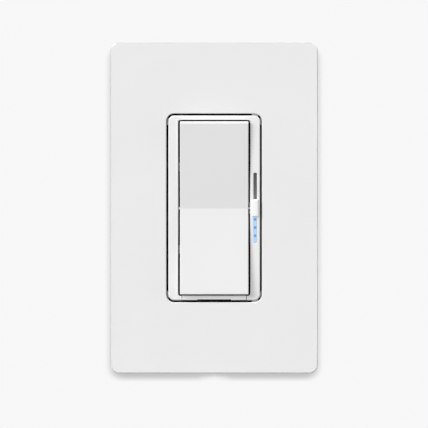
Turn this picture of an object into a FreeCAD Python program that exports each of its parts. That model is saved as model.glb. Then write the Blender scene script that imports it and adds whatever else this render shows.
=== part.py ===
import FreeCAD, Part
import math
import os
import Sketcher

# Smart dimmer switch with a screwless wallplate.
# X runs right, Z runs up and the front faces -Y. The wall plane is y = 0, and the origin lies midway
# between the two wall-box screw slots. A level is a distance in front of the wall, so a piece behind
# the wall has negative levels, and y is the level with its sign turned.

DRIVING_SIZES = (
    ("overrun", 1.0, "how far a cut runs past an open side"),
    ("root", 0.2, "how far a feature's root lies inside what it grows from"),
    ("plate_width", 74.6, "cover, side to side"),
    ("plate_height", 119.1, "cover, top to bottom"),
    ("plate_depth", 7.6, "cover, wall to front face"),
    ("plate_corner", 3.0, "cover, corner radius seen from the front"),
    ("plate_edge", 0.35, "cover, round of the front edge"),
    ("plate_wall", 1.8, "cover, side wall"),
    ("plate_face", 1.8, "cover, front wall"),
    ("plate_gap", 0.7, "cover window to bezel"),
    ("window_edge", 0.25, "cover window, bevel of the front edge"),
    ("lip_wall", 1.2, "wall round the cover window"),
    ("lip_depth", 2.2, "depth of that wall behind the front wall"),
    ("rib_wall", 1.2, "stiffening ribs inside the cover"),
    ("rib_spacing", 22.0, "between the cover's two upper or lower ribs"),
    ("catch_length", 9.0, "cover catches, along the side"),
    ("catch_reach", 1.1, "cover catches, inward from the side wall"),
    ("catch_height", 1.1, "cover catches, front to back"),
    ("catch_play", 0.15, "cover catch to adapter"),
    ("catch_spacing", 64.0, "between the lower and the upper catches"),
    ("pry_width", 8.0, "pry notch in the lower rim"),
    ("pry_height", 1.4, "pry notch, wall to its front"),
    ("adapter_thickness", 1.6, "adapter plate"),
    ("adapter_gap", 0.4, "adapter to the cover's walls"),
    ("adapter_wall", 1.4, "adapter rim"),
    ("adapter_lift", 0.3, "adapter rim above the wall"),
    ("adapter_clearance", 1.3, "adapter window to bezel"),
    ("adapter_corner", 2.0, "adapter corners"),
    ("access_width", 14.0, "adapter window over each box screw, across"),
    ("access_height", 9.0, "adapter window over each box screw, up"),
    ("catch_window_play", 0.5, "adapter rim to the ends of a catch"),
    ("bezel_width", 33.0, "bezel, side to side"),
    ("bezel_height", 66.6, "bezel, top to bottom"),
    ("bezel_corner", 2.1, "bezel corners"),
    ("bezel_proud", 0.4, "bezel face in front of the cover"),
    ("bezel_face", 1.9, "bezel front wall"),
    ("bezel_wall", 1.0, "bezel side walls"),
    ("bezel_edge", 0.3, "bezel, bevel of the front edges"),
    ("skirt_wall", 0.8, "wall round the paddle opening"),
    ("skirt_depth", 2.3, "depth of that wall behind the bezel front wall"),
    ("hook_width", 4.0, "bezel hooks, along the side"),
    ("hook_spacing", 46.0, "between the lower and the upper hooks"),
    ("hook_barb", 0.5, "bezel hook barb, outward"),
    ("hook_tail", 1.2, "bezel hook behind the yoke"),
    ("hook_play", 0.2, "bezel hook to its slot in the yoke"),
    ("paddle_width", 24.65, "paddle, side to side"),
    ("paddle_height", 62.3, "paddle, top to bottom"),
    ("paddle_gap", 0.6, "paddle to bezel, each side"),
    ("paddle_end_gap", 0.5, "paddle to bezel, top and bottom"),
    ("paddle_face", 1.6, "paddle front wall"),
    ("paddle_wall", 1.3, "paddle side walls"),
    ("paddle_skirt", 3.2, "paddle side walls behind the bezel face"),
    ("paddle_edge", 0.25, "paddle, round of the front edges"),
    ("paddle_rib", 1.0, "ribs inside the paddle"),
    ("crease_drop", 0.2, "crease below the middle"),
    ("crease_proud", 0.3, "crease in front of the bezel"),
    ("top_proud", 2.2, "paddle's upper half in front of the bezel, at its brow"),
    ("foot_proud", 3.1, "paddle's bottom edge in front of the bezel"),
    ("brow_rise", 0.65, "bevel along the paddle's top edge, up"),
    ("brow_depth", 0.4, "bevel along the paddle's top edge, front to back"),
    ("pin_radius", 0.6, "paddle pivot pins"),
    ("pin_play", 0.05, "pivot pin to its bearing"),
    ("pin_setback", 1.0, "pivot axis behind the bezel face"),
    ("pin_reach", 0.7, "pivot pin into the bezel"),
    ("post_width", 3.2, "paddle push posts, each arm of the cross"),
    ("post_arm", 1.2, "paddle push posts, thickness of the arms"),
    ("post_offset", 20.0, "push posts above and below the middle"),
    ("post_play", 0.3, "push post to dome"),
    ("bar_half", 11.55, "service bar, middle to end"),
    ("bar_play", 0.15, "service bar to bezel"),
    ("bar_gap", 0.35, "service bar to paddle"),
    ("bar_depth", 2.6, "service bar, front to back"),
    ("bar_edge", 0.2, "service bar, round of the front edge"),
    ("leg_reach", 2.4, "service bar legs behind the control board"),
    ("nail_half", 6.05, "finger-nail recess, middle to end"),
    ("nail_depth", 0.3, "finger-nail recess, upward"),
    ("leg_offset", 8.0, "service bar legs from the middle"),
    ("leg_width", 1.6, "service bar legs, across"),
    ("leg_height", 0.55, "service bar legs, up"),
    ("blade_thickness", 1.0, "service bar's cross blade, front to back"),
    ("blade_height", 2.6, "cross blade, up"),
    ("slot_offset", 14.78, "slider slot from the middle"),
    ("slot_width", 1.25, "slider slot, across"),
    ("slot_length", 25.3, "slider slot, up"),
    ("slot_corner", 0.4, "slider slot, corners"),
    ("slot_edge", 0.12, "slider slot, chamfer of the front edge"),
    ("knob_width", 2.2, "slider knob, across"),
    ("knob_length", 6.2, "slider knob, up"),
    ("knob_height", 0.95, "slider knob in front of its underside"),
    ("knob_lift", 0.15, "slider knob off the bezel"),
    ("knob_edge", 0.35, "slider knob, round of its edges"),
    ("stem_play", 0.18, "slider stem to the slot's sides"),
    ("stem_length", 5.6, "slider stem, up"),
    ("slider_travel", 9.5, "slider, from the middle to each end"),
    ("carriage_length", 6.0, "slider carriage, up"),
    ("carriage_thickness", 0.8, "slider carriage plate"),
    ("carriage_play", 0.15, "carriage to the bezel and to the light bar"),
    ("socket_play", 0.05, "slider stem to its socket"),
    ("arm_width", 1.1, "carriage arm, across"),
    ("arm_length", 4.0, "carriage arm, up"),
    ("arm_play", 0.18, "carriage arm to the light bar"),
    ("light_width", 1.15, "light bar, across"),
    ("light_overrun", 0.4, "light bar past each end of the slot"),
    ("light_foot", 2.4, "light bar feet, up"),
    ("light_foot_thickness", 1.2, "light bar feet, front to back"),
    ("light_gap", 0.2, "light bar to LEDs"),
    ("yoke_length", 105.9, "strap, ear to ear"),
    ("yoke_thickness", 1.6, "strap"),
    ("ear_width", 38.0, "strap ears, across"),
    ("ear_corner", 5.0, "strap ears, corner radius"),
    ("sink_width", 62.0, "strap with its side sections"),
    ("sink_height", 72.0, "strap's wide part"),
    ("score_offset", 23.4, "score line from the middle"),
    ("score_width", 0.8, "score line, across"),
    ("score_depth", 0.6, "score line"),
    ("box_screw_spacing", 83.34, "wall-box screw slots, centre to centre"),
    ("box_slot_length", 6.6, "wall-box screw slot, end to end"),
    ("box_slot_width", 4.0, "wall-box screw slot, side to side"),
    ("plate_screw_spacing", 96.84, "adapter screws, centre to centre"),
    ("plate_screw_radius", 1.7, "adapter screw shank"),
    ("plate_screw_head", 3.2, "adapter screw head radius"),
    ("plate_screw_sink", 1.1, "adapter screw head, front to back"),
    ("plate_screw_length", 12.0, "adapter screw"),
    ("drive_reach", 0.62, "cross recess, share of the head's radius"),
    ("drive_slot", 0.2, "cross recess, width as a share of the head's radius"),
    ("drive_depth", 0.7, "cross recess, share of the countersunk head's depth"),
    ("screw_play", 0.06, "screw to its hole"),
    ("housing_width", 44.0, "rear housing, side to side"),
    ("housing_height", 70.0, "rear housing, top to bottom"),
    ("housing_depth", 30.0, "rear housing behind the wall"),
    ("housing_wall", 1.8, "rear housing walls"),
    ("housing_corner", 2.5, "rear housing corners"),
    ("housing_edge", 1.2, "rear housing, bevel of its back edge"),
    ("shoulder_height", 10.0, "rear housing's upper step, up"),
    ("shoulder_depth", 8.0, "rear housing's upper step, front to back"),
    ("lead_radius", 1.8, "lead exits"),
    ("lead_pitch", 8.0, "lead exit to lead exit"),
    ("boss_side", 4.8, "screw bosses, each side"),
    ("boss_across", 37.2, "housing screws, side to side"),
    ("boss_up", 63.2, "housing screws, top to bottom"),
    ("housing_screw_radius", 1.25, "housing screw shank"),
    ("housing_screw_head", 2.3, "housing screw head radius"),
    ("housing_screw_sink", 1.2, "housing screw head, front to back"),
    ("housing_screw_length", 11.0, "housing screw"),
    ("pilot_spare", 0.3, "pilot holes past the screws' ends"),
    ("rail_wall", 1.6, "board rails, up"),
    ("rail_spacing", 44.0, "between the lower and the upper rails"),
    ("rail_reach", 1.1, "rails under the control board, inward"),
    ("rail_step", 1.4, "rails under the power board, further inward"),
    ("board_thickness", 1.6, "printed boards"),
    ("board_play", 0.3, "control board to the housing"),
    ("power_board_play", 0.2, "power board to the rails"),
    ("board_height", 54.8, "printed boards, up"),
    ("control_setback", 5.0, "control board behind the wall"),
    ("power_setback", 17.0, "power board behind the wall"),
    ("tongue_half", 12.0, "power board's lower tongue, middle to side"),
    ("tongue_height", 4.4, "power board's lower tongue, up"),
    ("dome_radius", 3.6, "silicone domes"),
    ("dome_height", 3.5, "silicone domes, board to top"),
    ("dome_top", 1.9, "silicone domes, radius of the top"),
    ("led_height", 0.8, "LEDs, board to top"),
    ("led_width", 1.1, "LEDs, across"),
    ("led_length", 1.6, "LEDs, up"),
    ("led_pitch", 2.98, "LED to LED"),
    ("led_shift", 0.37, "middle of the LED row above the middle"),
    ("lever_offset", 12.6, "potentiometer lever from the middle"),
    ("lever_width", 0.8, "potentiometer lever, across"),
    ("lever_length", 1.0, "potentiometer lever, up"),
    ("pot_width", 3.0, "potentiometer, across"),
    ("pot_length", 30.0, "potentiometer, up"),
    ("pot_height", 3.4, "potentiometer, board to top"),
    ("pot_wall", 0.5, "potentiometer walls"),
    ("pot_lid", 0.8, "potentiometer's slotted front wall"),
    ("pot_play", 0.15, "wiper to potentiometer"),
    ("pot_spare", 0.5, "potentiometer track past the wiper's ends"),
    ("fork_play", 0.05, "carriage fork to lever"),
    ("fork_gap", 0.3, "carriage fork to the potentiometer and to the yoke"),
    ("package_offset", 12.5, "transistor packages from the middle"),
    ("package_width", 10.0, "transistor package, across"),
    ("package_length", 15.6, "transistor package with its tab"),
    ("package_body", 9.2, "transistor package without its tab"),
    ("package_thickness", 4.4, "transistor package"),
    ("package_tab", 1.3, "transistor tab"),
    ("package_gap", 4.0, "between the two packages"),
    ("tab_screw_inset", 2.7, "tab screw from the tab's end"),
    ("tab_screw_radius", 1.45, "tab screw shank"),
    ("tab_screw_head", 2.7, "tab screw head radius"),
    ("tab_screw_thickness", 1.8, "tab screw head"),
    ("tab_screw_recess", 0.2, "tab screw's end behind the strap's front"),
    ("lead_strip", 0.7, "transistor leads, across"),
    ("lead_strip_thickness", 0.5, "transistor leads, thickness"),
    ("lead_strip_pitch", 2.54, "transistor lead to lead"),
    ("lead_strip_drop", 0.6, "transistor leads behind the package's middle"),
    ("lead_slot_play", 0.4, "control board slot past the transistor leads"),
    ("pad_thickness", 0.3, "thermal pad"),
    ("pad_margin", 0.5, "thermal pad past the packages"),
    ("choke_outer", 9.0, "choke core, outer radius"),
    ("choke_inner", 4.6, "choke core, inner radius"),
    ("choke_height", 6.0, "choke core, front to back"),
    ("choke_wire", 0.45, "choke wire radius"),
    ("choke_wire_gap", 0.2, "choke wire to core"),
    ("choke_lift", 0.2, "choke winding to board"),
    ("choke_cover", 0.86, "share of the ring that the choke's turns cover"),
    ("rivet_radius", 1.5, "ground rivet shank"),
    ("rivet_head", 2.3, "ground rivet heads, radius"),
    ("rivet_sink", 0.9, "ground rivet's flush head, front to back"),
    ("ground_across", 11.0, "ground rivet from the middle"),
    ("ground_up", 41.0, "ground rivet above the middle"),
    ("lug_thickness", 0.6, "ground lug"),
    ("lug_radius", 2.8, "ground lug ring, outer radius"),
    ("lug_length", 8.0, "ground lug, rivet to barrel end"),
    ("barrel_gap", 0.6, "ground lug ring to barrel"),
    ("barrel_radius", 1.5, "ground lug barrel, outer radius"),
    ("chip_across", 2.0, "controller from the middle"),
    ("chip_up", 7.0, "controller above the middle"),
    ("chip_side", 7.0, "controller, each side"),
    ("chip_height", 0.9, "controller, board to top"),
    ("radio_across", 2.0, "radio from the middle"),
    ("radio_up", -5.5, "radio above the middle"),
    ("radio_width", 12.0, "radio, across"),
    ("radio_height", 12.0, "radio, up"),
    ("radio_carrier", 0.8, "radio carrier board"),
    ("radio_depth", 2.6, "radio, board to top"),
    ("can_inset", 0.6, "shield can inside the carrier's edge"),
    ("can_edge", 0.3, "shield can, bevel of its edges"),
    ("antenna_across", 17.6, "antenna from the middle"),
    ("antenna_length", 30.0, "antenna, up"),
    ("antenna_height", 3.4, "antenna, board to top"),
    ("antenna_strip", 0.6, "antenna strip"),
    ("header_pins", 6, "pins of the board header"),
    ("header_pitch", 2.54, "pin to pin"),
    ("header_pin", 0.64, "header pins, each side"),
    ("header_base", 2.5, "header base, board to top"),
    ("header_across", -3.0, "header from the middle"),
    ("header_up", -25.0, "header above the middle"),
    ("choke_across", -8.2, "choke from the middle"),
    ("choke_up", -14.0, "choke above the middle"),
    ("core_across", 8.0, "transformer from the middle"),
    ("core_up", 6.0, "transformer above the middle"),
    ("core_width", 14.0, "transformer core, across"),
    ("core_height", 6.0, "transformer core, up"),
    ("core_depth", 9.0, "transformer core, front to back"),
    ("core_wall", 2.0, "transformer core walls"),
    ("core_lift", 0.5, "transformer core off the board"),
    ("core_play", 0.15, "winding to core"),
    ("winding_bulge", 2.6, "winding past the core"),
    ("winding_round", 1.56, "winding, round of its ends"),
    ("film_across", 11.0, "film capacitor from the middle"),
    ("film_up", -20.0, "film capacitor above the middle"),
    ("film_width", 13.0, "film capacitor, across"),
    ("film_height", 6.5, "film capacitor, up"),
    ("film_depth", 8.0, "film capacitor, board to top"),
    ("film_edge", 0.6, "film capacitor, bevel of its edges"),
    ("film_pin", 5.0, "film capacitor, middle to each pin"),
    ("part_lift", 0.3, "capacitors off the board"),
    ("part_pin", 0.6, "pins of the board's parts, each side"),
    ("can_across", -9.0, "electrolytic capacitor from the middle"),
    ("can_up", 17.0, "electrolytic capacitor above the middle"),
    ("can_radius", 4.0, "electrolytic capacitor"),
    ("can_length", 9.0, "electrolytic capacitor, board to top"),
    ("can_bevel", 0.4, "electrolytic capacitor, bevel of its top"),
    ("can_pin", 1.75, "electrolytic capacitor, middle to each pin"),
    ("varistor_across", 9.0, "varistor from the middle"),
    ("varistor_up", -3.0, "varistor above the middle"),
    ("varistor_radius", 3.9, "varistor disc"),
    ("varistor_thickness", 3.2, "varistor disc"),
    ("varistor_lift", 0.6, "varistor disc off the board"),
    ("varistor_pin", 2.5, "varistor, middle to each pin"),
    ("varistor_pin_length", 2.2, "varistor pins behind the board"),
    ("fuse_across", -9.0, "fuse from the middle"),
    ("fuse_up", 10.0, "fuse above the middle"),
    ("fuse_radius", 1.7, "fuse caps"),
    ("fuse_length", 9.5, "fuse"),
    ("fuse_cap", 1.8, "fuse caps, along the fuse"),
    ("fuse_cap_wall", 0.2, "fuse caps, wall round the tube"),
    ("fuse_lift", 0.4, "fuse off the board"),
    ("contact_up", -30.6, "service contacts above the middle"),
    ("contact_width", 2.6, "service contact strips, up"),
    ("contact_thickness", 0.35, "service contact strips"),
    ("contact_button", 0.4, "service contact buttons"),
    ("contact_reach", 7.0, "service contact feet from the middle"),
)

TURNS = 12
WIRE_SIDES = 8
LED_COUNT = 8
LEAD_EXITS = 4
SIDES = (-1, 1)

document = FreeCAD.newDocument("smart_dimmer_switch")
sheet = document.addObject("Spreadsheet::Sheet", "Sizes")
for row, (alias, value, meaning) in enumerate(DRIVING_SIZES, start=1):
    sheet.set(f"A{row}", meaning)
    sheet.set(f"B{row}", str(value))
    sheet.setAlias(f"B{row}", alias)
document.recompute()

sub_parts = {}


# Ways of writing sizes and places

def number(expression):
    """The value that an expression of the sheet's sizes has."""
    return float(sheet.evalExpression(str(expression)))


def total(*terms):
    """The sum of some sizes, as an expression."""
    return "(" + " + ".join(f"({term})" for term in terms) + ")"


def less(first, *others):
    """One size less some others, as an expression."""
    return "(" + " - ".join(f"({term})" for term in (first, *others)) + ")"


def half(expression):
    """Half of a size, as an expression."""
    return f"(({expression}) / 2)"


def minus(expression):
    """A size with its sign turned, as an expression."""
    return f"(-({expression}))"


def signed(side, expression):
    """A distance to the low or the high side, as an expression."""
    return f"({side} * ({expression}))"


def spread(width):
    """The two ends of a width that lies about the middle."""
    return minus(half(width)), half(width)


def around(centre, width):
    """The two ends of a width that lies about a centre."""
    return less(centre, half(width)), total(centre, half(width))


def ordered(first, second):
    """Two ends, the lower one first."""
    if number(first) < number(second):
        return first, second
    return second, first


# Levels and places that several pieces share

BEZEL_FRONT = "(Sizes.plate_depth + Sizes.bezel_proud)"
BEZEL_INNER = f"({BEZEL_FRONT} - Sizes.bezel_face)"
YOKE_FRONT = "Sizes.yoke_thickness"
ADAPTER_FRONT = "(Sizes.yoke_thickness + Sizes.adapter_thickness)"
CARRIAGE_FRONT = f"({BEZEL_INNER} - Sizes.carriage_play)"
CARRIAGE_BACK = f"({CARRIAGE_FRONT} - Sizes.carriage_thickness)"
LIGHT_FRONT = f"({CARRIAGE_BACK} - Sizes.carriage_play)"
LIGHT_REACH = "(Sizes.slot_length / 2 + Sizes.light_overrun)"
CONTROL_FRONT = "(-Sizes.control_setback)"
CONTROL_BACK = "(-Sizes.control_setback - Sizes.board_thickness)"
POWER_FRONT = "(-Sizes.power_setback)"
POWER_BACK = "(-Sizes.power_setback - Sizes.board_thickness)"
LIGHT_BACK = f"({CONTROL_FRONT} + Sizes.led_height + Sizes.light_gap)"
HOUSING_BACK = "(-Sizes.housing_depth)"
HOUSING_FLOOR = "(-Sizes.housing_depth + Sizes.housing_wall)"
SHOULDER_BACK = "(-Sizes.housing_depth + Sizes.shoulder_depth)"
SHOULDER_FLOOR = f"({SHOULDER_BACK} + Sizes.housing_wall)"
SHOULDER_LOW = "(Sizes.housing_height / 2 - Sizes.shoulder_height)"
HOUSING_HALF = "(Sizes.housing_width / 2 - Sizes.housing_wall)"
HOUSING_TOP = "(Sizes.housing_height / 2 - Sizes.housing_wall)"
OPENING_HALF = "(Sizes.paddle_width / 2 + Sizes.paddle_gap)"
OPENING_TOP = "(Sizes.paddle_height / 2 + Sizes.paddle_end_gap)"
PIVOT_LEVEL = f"({BEZEL_FRONT} - Sizes.pin_setback)"
CREASE_UP = "(-Sizes.crease_drop)"
PADDLE_TOP = "(Sizes.paddle_height / 2)"
PADDLE_FOOT = "(-Sizes.paddle_height / 2)"
CREASE_FRONT = f"({BEZEL_FRONT} + Sizes.crease_proud)"
BROW_FRONT = f"({BEZEL_FRONT} + Sizes.top_proud)"
BROW_UP = f"({PADDLE_TOP} - Sizes.brow_rise)"
FOOT_FRONT = f"({BEZEL_FRONT} + Sizes.foot_proud)"
PADDLE_BACK = f"({BEZEL_FRONT} - Sizes.paddle_skirt)"
BAR_TOP = "(-Sizes.paddle_height / 2 - Sizes.bar_gap)"
BAR_FOOT = "(-Sizes.bezel_height / 2 + Sizes.bar_play / 2)"
BAR_BACK = f"({BEZEL_FRONT} - Sizes.bar_depth)"
LEG_FOOT = "(-Sizes.bezel_height / 2 + Sizes.bezel_wall + Sizes.bar_play)"
DOME_TOP = f"({CONTROL_FRONT} + Sizes.dome_height)"
POST_TIP = f"({DOME_TOP} + Sizes.post_play)"
ARM_HIGH = "(Sizes.slot_offset - Sizes.light_width / 2 - Sizes.arm_play)"
ARM_LOW = f"({ARM_HIGH} - Sizes.arm_width)"
POT_FRONT = f"({CONTROL_FRONT} + Sizes.pot_height)"
FORK_FRONT = "(-Sizes.fork_gap)"
FORK_BACK = f"({POT_FRONT} + Sizes.fork_gap)"
COVER_HALF = "(Sizes.plate_width / 2 - Sizes.plate_wall)"
COVER_TOP = "(Sizes.plate_height / 2 - Sizes.plate_wall)"
ADAPTER_HALF = f"({COVER_HALF} - Sizes.adapter_gap)"
ADAPTER_TOP = f"({COVER_TOP} - Sizes.adapter_gap)"
SLIDER_WINDOW_LOW = f"({ARM_LOW} - Sizes.arm_play)"
SLIDER_WINDOW_HIGH = "(Sizes.bezel_width / 2 - Sizes.bezel_wall)"
SLIDER_WINDOW_UP = f"({LIGHT_REACH} + Sizes.arm_play)"
GROUND_PLACE = ("Sizes.ground_across", "Sizes.ground_up")
BLADE_LEVEL = f"({CONTROL_BACK} - Sizes.leg_reach)"


# Sketches

def new_body(name):
    """An empty body that will be one sub-part."""
    body = document.addObject("PartDesign::Body", name)
    body.Label = name
    sub_parts[name] = body
    return body


def plane_sketch(body, label, role, shift):
    """A sketch on one of the body's origin planes, moved along the plane's normal."""
    sketch = body.newObject("Sketcher::SketchObject", label)
    plane = next(item for item in body.Origin.OriginFeatures if item.Role == role)
    sketch.AttachmentSupport = [(plane, "")]
    sketch.MapMode = "FlatFace"
    sketch.setExpression("AttachmentOffset.Base.z", str(shift))
    return sketch


def pin_point(sketch, geometry, end, place):
    """Ties one point of a sketch's geometry to two expressions."""
    for kind, expression in zip(("DistanceX", "DistanceY"), place):
        constraint = Sketcher.Constraint(kind, -1, 1, geometry, end, number(expression))
        index = sketch.addConstraint(constraint)
        sketch.setExpression(f"Constraints[{index}]", str(expression))


def add_outline(sketch, places):
    """A closed outline of straight lines through the places."""
    corners = [FreeCAD.Vector(number(u), number(v), 0) for u, v in places]
    count = len(corners)
    lines = []
    for index in range(count):
        line = Part.LineSegment(corners[index], corners[(index + 1) % count])
        lines.append(sketch.addGeometry(line, False))
    for index in range(count):
        following = lines[(index + 1) % count]
        sketch.addConstraint(Sketcher.Constraint("Coincident", lines[index], 2, following, 1))
    for line, place in zip(lines, places):
        pin_point(sketch, line, 1, place)


def add_rectangle(sketch, across, up):
    """A rectangle between two pairs of ends."""
    low, high = across
    foot, top = up
    add_outline(sketch, [(low, foot), (high, foot), (high, top), (low, top)])


def add_circle(sketch, place, radius):
    """A circle about a place."""
    centre = FreeCAD.Vector(number(place[0]), number(place[1]), 0)
    normal = FreeCAD.Vector(0, 0, 1)
    circle = sketch.addGeometry(Part.Circle(centre, normal, number(radius)), False)
    pin_point(sketch, circle, 3, place)
    index = sketch.addConstraint(Sketcher.Constraint("Radius", circle, number(radius)))
    sketch.setExpression(f"Constraints[{index}]", str(radius))


def add_rounded_outline(sketch, centres, radius):
    """Arcs of one radius about the centres, in counterclockwise order, joined by tangent lines."""
    size = number(radius)
    points = [FreeCAD.Vector(number(u), number(v), 0) for u, v in centres]
    count = len(points)
    headings = []
    for index in range(count):
        step = points[(index + 1) % count] - points[index]
        headings.append(math.atan2(step.y, step.x))
    arcs = []
    for index in range(count):
        circle = Part.Circle(points[index], FreeCAD.Vector(0, 0, 1), size)
        start = headings[index - 1] - math.pi / 2
        end = headings[index] - math.pi / 2
        arcs.append(sketch.addGeometry(Part.ArcOfCircle(circle, start, end), False))
    for index in range(count):
        following = (index + 1) % count
        heading = headings[index] - math.pi / 2
        aside = FreeCAD.Vector(math.cos(heading), math.sin(heading), 0) * size
        line = Part.LineSegment(points[index] + aside, points[following] + aside)
        edge = sketch.addGeometry(line, False)
        sketch.addConstraint(Sketcher.Constraint("Tangent", arcs[index], 2, edge, 1))
        sketch.addConstraint(Sketcher.Constraint("Tangent", edge, 2, arcs[following], 1))
    for arc, place in zip(arcs, centres):
        pin_point(sketch, arc, 3, place)
    index = sketch.addConstraint(Sketcher.Constraint("Radius", arcs[0], size))
    sketch.setExpression(f"Constraints[{index}]", str(radius))
    for arc in arcs[1:]:
        sketch.addConstraint(Sketcher.Constraint("Equal", arcs[0], arc))


def add_rounded_rectangle(sketch, across, up, radius):
    """A rectangle with round corners."""
    low = total(across[0], radius)
    high = less(across[1], radius)
    foot = total(up[0], radius)
    top = less(up[1], radius)
    add_rounded_outline(sketch, [(low, foot), (high, foot), (high, top), (low, top)], radius)


# Features of a body

def settle(body, feature, grows):
    """Makes a feature the body's tip and checks that it added or removed material."""
    before = feature.BaseFeature.Shape.Volume if feature.BaseFeature else 0.0
    body.Tip = feature
    document.recompute()
    change = feature.Shape.Volume - before
    if grows is not None and (change > 0) != grows:
        raise RuntimeError(f"{body.Label} {feature.Label}: volume changed by {change:.4f}")
    return feature


def pad(body, label, sketch, length):
    """Adds material from a sketch along its normal."""
    feature = body.newObject("PartDesign::Pad", label)
    feature.Profile = sketch
    feature.setExpression("Length", str(length))
    return settle(body, feature, True)


def pocket(body, label, sketch, length):
    """Removes material from a sketch against its normal."""
    feature = body.newObject("PartDesign::Pocket", label)
    feature.Profile = sketch
    feature.setExpression("Length", str(length))
    return settle(body, feature, False)


def draw_face(sketch, across, up, corner):
    """A rectangle, with round corners where a radius is given."""
    if corner is None:
        add_rectangle(sketch, across, up)
    else:
        add_rounded_rectangle(sketch, across, up, corner)


def add_block(body, label, across, up, levels, corner=None):
    """Adds a block between two levels."""
    back, front = levels
    sketch = plane_sketch(body, label + "_sketch", "XZ_Plane", back)
    draw_face(sketch, across, up, corner)
    return pad(body, label, sketch, less(front, back))


def cut_block(body, label, across, up, levels, corner=None):
    """Removes a block between two levels."""
    back, front = levels
    sketch = plane_sketch(body, label + "_sketch", "XZ_Plane", front)
    draw_face(sketch, across, up, corner)
    return pocket(body, label, sketch, less(front, back))


def add_disc(body, label, places, radius, levels):
    """Adds a round post at each place between two levels."""
    back, front = levels
    sketch = plane_sketch(body, label + "_sketch", "XZ_Plane", back)
    for place in places:
        add_circle(sketch, place, radius)
    return pad(body, label, sketch, less(front, back))


def cut_disc(body, label, places, radius, levels):
    """Removes a round hole at each place between two levels."""
    back, front = levels
    sketch = plane_sketch(body, label + "_sketch", "XZ_Plane", front)
    for place in places:
        add_circle(sketch, place, radius)
    return pocket(body, label, sketch, less(front, back))


def add_profile_along(body, label, role, shift, places, length):
    """Adds a straight-sided profile on an origin plane, drawn out along the plane's normal."""
    sketch = plane_sketch(body, label + "_sketch", role, shift)
    add_outline(sketch, places)
    return pad(body, label, sketch, length)


def cut_profile_along(body, label, role, shift, places, length):
    """Removes a straight-sided profile, from a shifted origin plane against its normal."""
    sketch = plane_sketch(body, label + "_sketch", role, shift)
    add_outline(sketch, places)
    return pocket(body, label, sketch, length)


def turn(body, label, places, centre, removes=False):
    """Turns a half profile of (radius, level) places about a line along Y through the centre."""
    kind = "PartDesign::Groove" if removes else "PartDesign::Revolution"
    sketch = plane_sketch(body, label + "_sketch", "XY_Plane", centre[1])
    outline = [(total(centre[0], radius), minus(level)) for radius, level in places]
    add_outline(sketch, outline)
    start = FreeCAD.Vector(number(centre[0]), 0, 0)
    line = Part.LineSegment(start, start + FreeCAD.Vector(0, 1, 0))
    axis = sketch.addGeometry(line, True)
    pin_point(sketch, axis, 1, (centre[0], "0"))
    pin_point(sketch, axis, 2, (centre[0], "1"))
    feature = body.newObject(kind, label)
    feature.Profile = sketch
    feature.ReferenceAxis = (sketch, ["Axis0"])
    feature.Angle = 360
    return settle(body, feature, not removes)


def round_edges(body, label, radius, edges):
    """Rounds some edges of the body's tip."""
    base = body.Tip
    feature = body.newObject("PartDesign::Fillet", label)
    feature.Base = (base, edges)
    feature.setExpression("Radius", str(radius))
    return settle(body, feature, None)


def bevel_edges(body, label, size, edges):
    """Bevels some edges of the body's tip."""
    base = body.Tip
    feature = body.newObject("PartDesign::Chamfer", label)
    feature.Base = (base, edges)
    feature.setExpression("Size", str(size))
    return settle(body, feature, None)


NEAR = 0.002


def outline_edges(shape, level, across, up, corner="0"):
    """The edges on one level that lie along a rectangle's outline."""
    depth = -number(level)
    middle_across = (number(across[0]) + number(across[1])) / 2
    middle_up = (number(up[0]) + number(up[1])) / 2
    reach_across = (number(across[1]) - number(across[0])) / 2
    reach_up = (number(up[1]) - number(up[0])) / 2
    inward = number(corner) + NEAR
    names = []
    for index, edge in enumerate(shape.Edges, start=1):
        box = edge.BoundBox
        if abs(box.YMin - depth) > NEAR or abs(box.YMax - depth) > NEAR:
            continue
        ends = [vertex.Point for vertex in edge.Vertexes]
        offsets = [
            max(abs(end.x - middle_across) - reach_across, abs(end.z - middle_up) - reach_up)
            for end in ends
        ]
        if all(-inward <= offset <= NEAR for offset in offsets):
            names.append(f"Edge{index}")
    return names


# Pieces from plain solids

def box_piece(name, across, up, levels):
    """A box between two levels, tied to the sheet."""
    piece = document.addObject("Part::Box", name)
    piece.setExpression("Length", less(across[1], across[0]))
    piece.setExpression("Width", less(levels[1], levels[0]))
    piece.setExpression("Height", less(up[1], up[0]))
    piece.setExpression("Placement.Base.x", str(across[0]))
    piece.setExpression("Placement.Base.y", minus(levels[1]))
    piece.setExpression("Placement.Base.z", str(up[0]))
    return piece


def join(kind, name, members):
    """Fuses or groups some objects into one."""
    whole = document.addObject(kind, name)
    if kind == "Part::Compound":
        whole.Links = members
    else:
        whole.Shapes = members
    return whole


def keep(name, piece):
    """Lists an object as the sub-part of that name."""
    piece.Label = name
    sub_parts[name] = piece
    return piece


# Screwless cover

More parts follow.
